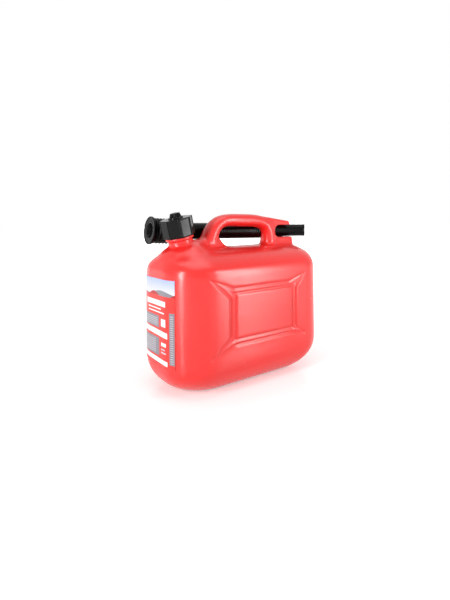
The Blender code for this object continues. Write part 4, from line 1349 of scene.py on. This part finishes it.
def stage_world(scene):
    """White where it is seen, in a reflection too, and a soft even light on everything else."""
    world = bpy.data.worlds.new("studio")
    world.use_nodes = True
    tree = world.node_tree
    sky = tree.nodes["Background"]
    sky.inputs["Color"].default_value = (1.0, 1.0, 1.0, 1.0)
    level = add_node(
        tree,
        "ShaderNodeMapRange",
        {"Value": seen_directly(tree), "To Min": WORLD_LEVEL, "To Max": 1.0},
    )
    tree.links.new(level.outputs["Result"], sky.inputs["Strength"])
    scene.world = world


def floor_material():
    """White paper that also glows for the rays that see it directly; the glow is least round the object, as
    painted shade there.
    """
    material = bpy.data.materials.new("white_paper")
    material.use_nodes = True
    tree = material.node_tree
    tree.nodes.clear()
    spot = add_node(tree, "ShaderNodeTexCoord", {}).outputs["Object"]
    away = add_node(tree, "ShaderNodeVectorMath", {0: spot}, operation="LENGTH").outputs["Value"]
    # the glow dims towards the object: painted shade on the floor round the can
    painted_shade_glow = add_node(
        tree,
        "ShaderNodeMapRange",
        {
            "Value": away,
            "From Min": GLOW_NEAR,
            "From Max": GLOW_FAR,
            "To Min": SHADED_GLOW_LEVEL,
            "To Max": 1.0,
        },
    ).outputs["Result"]
    paper = add_node(tree, "ShaderNodeBsdfDiffuse", {"Color": linear("#ECECEC")})
    glow = add_node(tree, "ShaderNodeEmission", {"Color": (1.0, 1.0, 1.0, 1.0), "Strength": painted_shade_glow})
    both = add_node(tree, "ShaderNodeAddShader", {0: paper.outputs[0], 1: glow.outputs[0]})
    # the satin face of the paper shows the soft boxes at a low angle
    edge = add_node(tree, "ShaderNodeFresnel", {"IOR": 1.45})
    satin = add_node(tree, "ShaderNodeBsdfAnisotropic", {"Color": edge.outputs[0], "Roughness": 0.22})
    whole = add_node(tree, "ShaderNodeAddShader", {0: both.outputs[0], 1: satin.outputs[0]})
    mix = add_node(
        tree,
        "ShaderNodeMixShader",
        {0: seen_directly(tree), 1: paper.outputs[0], 2: whole.outputs[0]},
    )
    add_node(tree, "ShaderNodeOutputMaterial", {"Surface": mix.outputs[0]})
    return material


def stage_floor():
    """One flat sheet under the can, on the stage and not part of it."""
    form = bmesh.new()
    bmesh.ops.create_grid(form, x_segments=1, y_segments=1, size=FLOOR_HALF)
    mesh = bpy.data.meshes.new("floor")
    form.to_mesh(mesh)
    form.free()
    mesh.materials.append(floor_material())
    loose_object("floor", mesh)


def stage_lamps():
    """Soft boxes round the can, placed by their compass angle from the can's rear towards its near side."""
    for name, angle, away, width, low, high, radiance in LAMPS:
        data = bpy.data.lights.new(name, "AREA")
        data.shape = "RECTANGLE"
        data.size = width
        data.size_y = high - low
        data.energy = math.pi * radiance * data.size * data.size_y
        lamp = loose_object(name, data)
        turn = math.radians(angle)
        lamp.location = (away * math.cos(turn), -away * math.sin(turn), (low + high) / 2)
        lamp.rotation_euler = (math.radians(90.0), 0.0, math.radians(90.0) - turn)
    side, height, radiance = TOP_BOX
    data = bpy.data.lights.new("top_box", "AREA")
    data.size = side
    data.energy = math.pi * radiance * side * side
    loose_object("top_box", data).location = (0.0, 0.0, height)


def stage_camera(scene):
    """Camera where the photograph was taken from."""
    data = bpy.data.cameras.new("camera")
    data.sensor_width = 36.0
    data.lens = CAMERA_LENS
    data.shift_x, data.shift_y = CAMERA_SHIFT
    data.clip_start = 0.01
    camera = loose_object("camera", data)
    camera.matrix_world = (
        Matrix.Translation(CAMERA_PLACE)
        @ Matrix.Rotation(CAMERA_TURN, 4, "Z")
        @ Matrix.Rotation(math.radians(90.0), 4, "X")
        @ Matrix.Rotation(CAMERA_ROLL, 4, "Z")
    )
    scene.camera = camera


# Operators


class FUELCAN_OT_body(bpy.types.Operator):
    """Builds the can's shell and the finish of its neck"""

    bl_idname = "fuelcan.body"
    bl_label = "Can body"

    def execute(self, context):
        plastic = blow_moulded_polyethylene(context.scene.fuel_can_finishes.can)
        dressed("can_shell", can_shell(context.scene.fuel_can_sizes), plastic, "can", "can_red", "can_body")
        dressed("neck_finish", neck_finish_mesh(), plastic, "can", "can_red")
        return {"FINISHED"}


class FUELCAN_OT_label(bpy.types.Operator):
    """Builds the printed label on the front"""

    bl_idname = "fuelcan.label"
    bl_label = "Label"

    def execute(self, context):
        film = printed_film(context.scene.fuel_can_finishes.label_red)
        dressed("printed_label", label_mesh(), film, "can", "label_print", "front_label")
        return {"FINISHED"}


class FUELCAN_OT_cap(bpy.types.Operator):
    """Builds the ring nut and the plug with its knob"""

    bl_idname = "fuelcan.cap"
    bl_label = "Cap"

    def execute(self, context):
        finishes = context.scene.fuel_can_finishes
        black = moulded_black("glossy_moulded_polypropylene", finishes.cap, **CAP_GLOSS)
        dressed("cap_ring_nut", cap_ring_mesh(), black, "ring", "cap_black", "cap_ring")
        knob = cap_plug_mesh(context.scene.fuel_can_sizes.knob_height)
        dressed("cap_plug_knob", knob, black, "plug", "cap_black", "cap_plug")
        return {"FINISHED"}


class FUELCAN_OT_spout(bpy.types.Operator):
    """Builds the nozzle, the hose, the collar and the bellows base"""

    bl_idname = "fuelcan.spout"
    bl_label = "Spout"

    def execute(self, context):
        colour = context.scene.fuel_can_finishes.spout
        tube = moulded_black("moulded_polyethylene_tube", colour, **TUBE_GLOSS)
        hose = moulded_black("corrugated_polyethylene_hose", colour, **HOSE_GLOSS)
        dressed("spout_nozzle_tube", nozzle_mesh(), tube, "spout", "spout_black", "spout_nozzle")
        dressed("spout_ribbed_hose", hose_mesh(), hose, "spout", "hose_black", "spout_hose", sharp=70.0)
        dressed("spout_collar_tube", collar_mesh(), tube, "spout", "spout_black", "spout_collar")
        dressed("spout_bellows_base", base_mesh(), tube, "spout", "spout_black", "spout_base", sharp=50.0)
        return {"FINISHED"}


class FUELCAN_OT_seals(bpy.types.Operator):
    """Gives the two gaskets their rubber finish"""

    bl_idname = "fuelcan.seals"
    bl_label = "Seals"

    def execute(self, context):
        colour = context.scene.fuel_can_finishes.seal
        rubber = moulded_black("moulded_nitrile_rubber", colour, **SEAL_GLOSS)
        for name in ("cap_gasket", "spout_gasket"):
            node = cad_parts[name]
            node.data.materials.clear()
            node.data.materials.append(rubber)
        return {"FINISHED"}


class FUELCAN_OT_stage(bpy.types.Operator):
    """Builds the floor, the lights and the camera"""

    bl_idname = "fuelcan.stage"
    bl_label = "Stage"

    def execute(self, context):
        scene = context.scene
        scene.view_settings.view_transform = "Standard"
        stage_world(scene)
        stage_floor()
        stage_lamps()
        stage_camera(scene)
        return {"FINISHED"}


class FUELCAN_PT_panel(bpy.types.Panel):
    """Lists the can's pieces and the stage"""

    bl_idname = "FUELCAN_PT_panel"
    bl_label = "Fuel Can"
    bl_space_type = "VIEW_3D"
    bl_region_type = "UI"
    bl_category = "Fuel Can"

    def draw(self, context):
        for group in (context.scene.fuel_can_sizes, context.scene.fuel_can_finishes):
            box = self.layout.box()
            for key in group.__annotations__:
                box.prop(group, key)
        for piece in OPERATORS:
            self.layout.operator(piece.bl_idname)


OPERATORS = (
    FUELCAN_OT_body,
    FUELCAN_OT_label,
    FUELCAN_OT_cap,
    FUELCAN_OT_spout,
    FUELCAN_OT_seals,
    FUELCAN_OT_stage,
)
CLASSES = (FuelCanSizes, FuelCanFinishes, *OPERATORS, FUELCAN_PT_panel)


def register():
    for item in CLASSES:
        bpy.utils.register_class(item)
    bpy.types.Scene.fuel_can_sizes = PointerProperty(type=FuelCanSizes)
    bpy.types.Scene.fuel_can_finishes = PointerProperty(type=FuelCanFinishes)


def unregister():
    del bpy.types.Scene.fuel_can_finishes
    del bpy.types.Scene.fuel_can_sizes
    for item in reversed(CLASSES):
        bpy.utils.unregister_class(item)


def main():
    register()
    bpy.ops.fuelcan.body()
    bpy.ops.fuelcan.label()
    bpy.ops.fuelcan.cap()
    bpy.ops.fuelcan.spout()
    bpy.ops.fuelcan.seals()
    bpy.ops.fuelcan.stage()


if __name__ == "__main__":
    main()
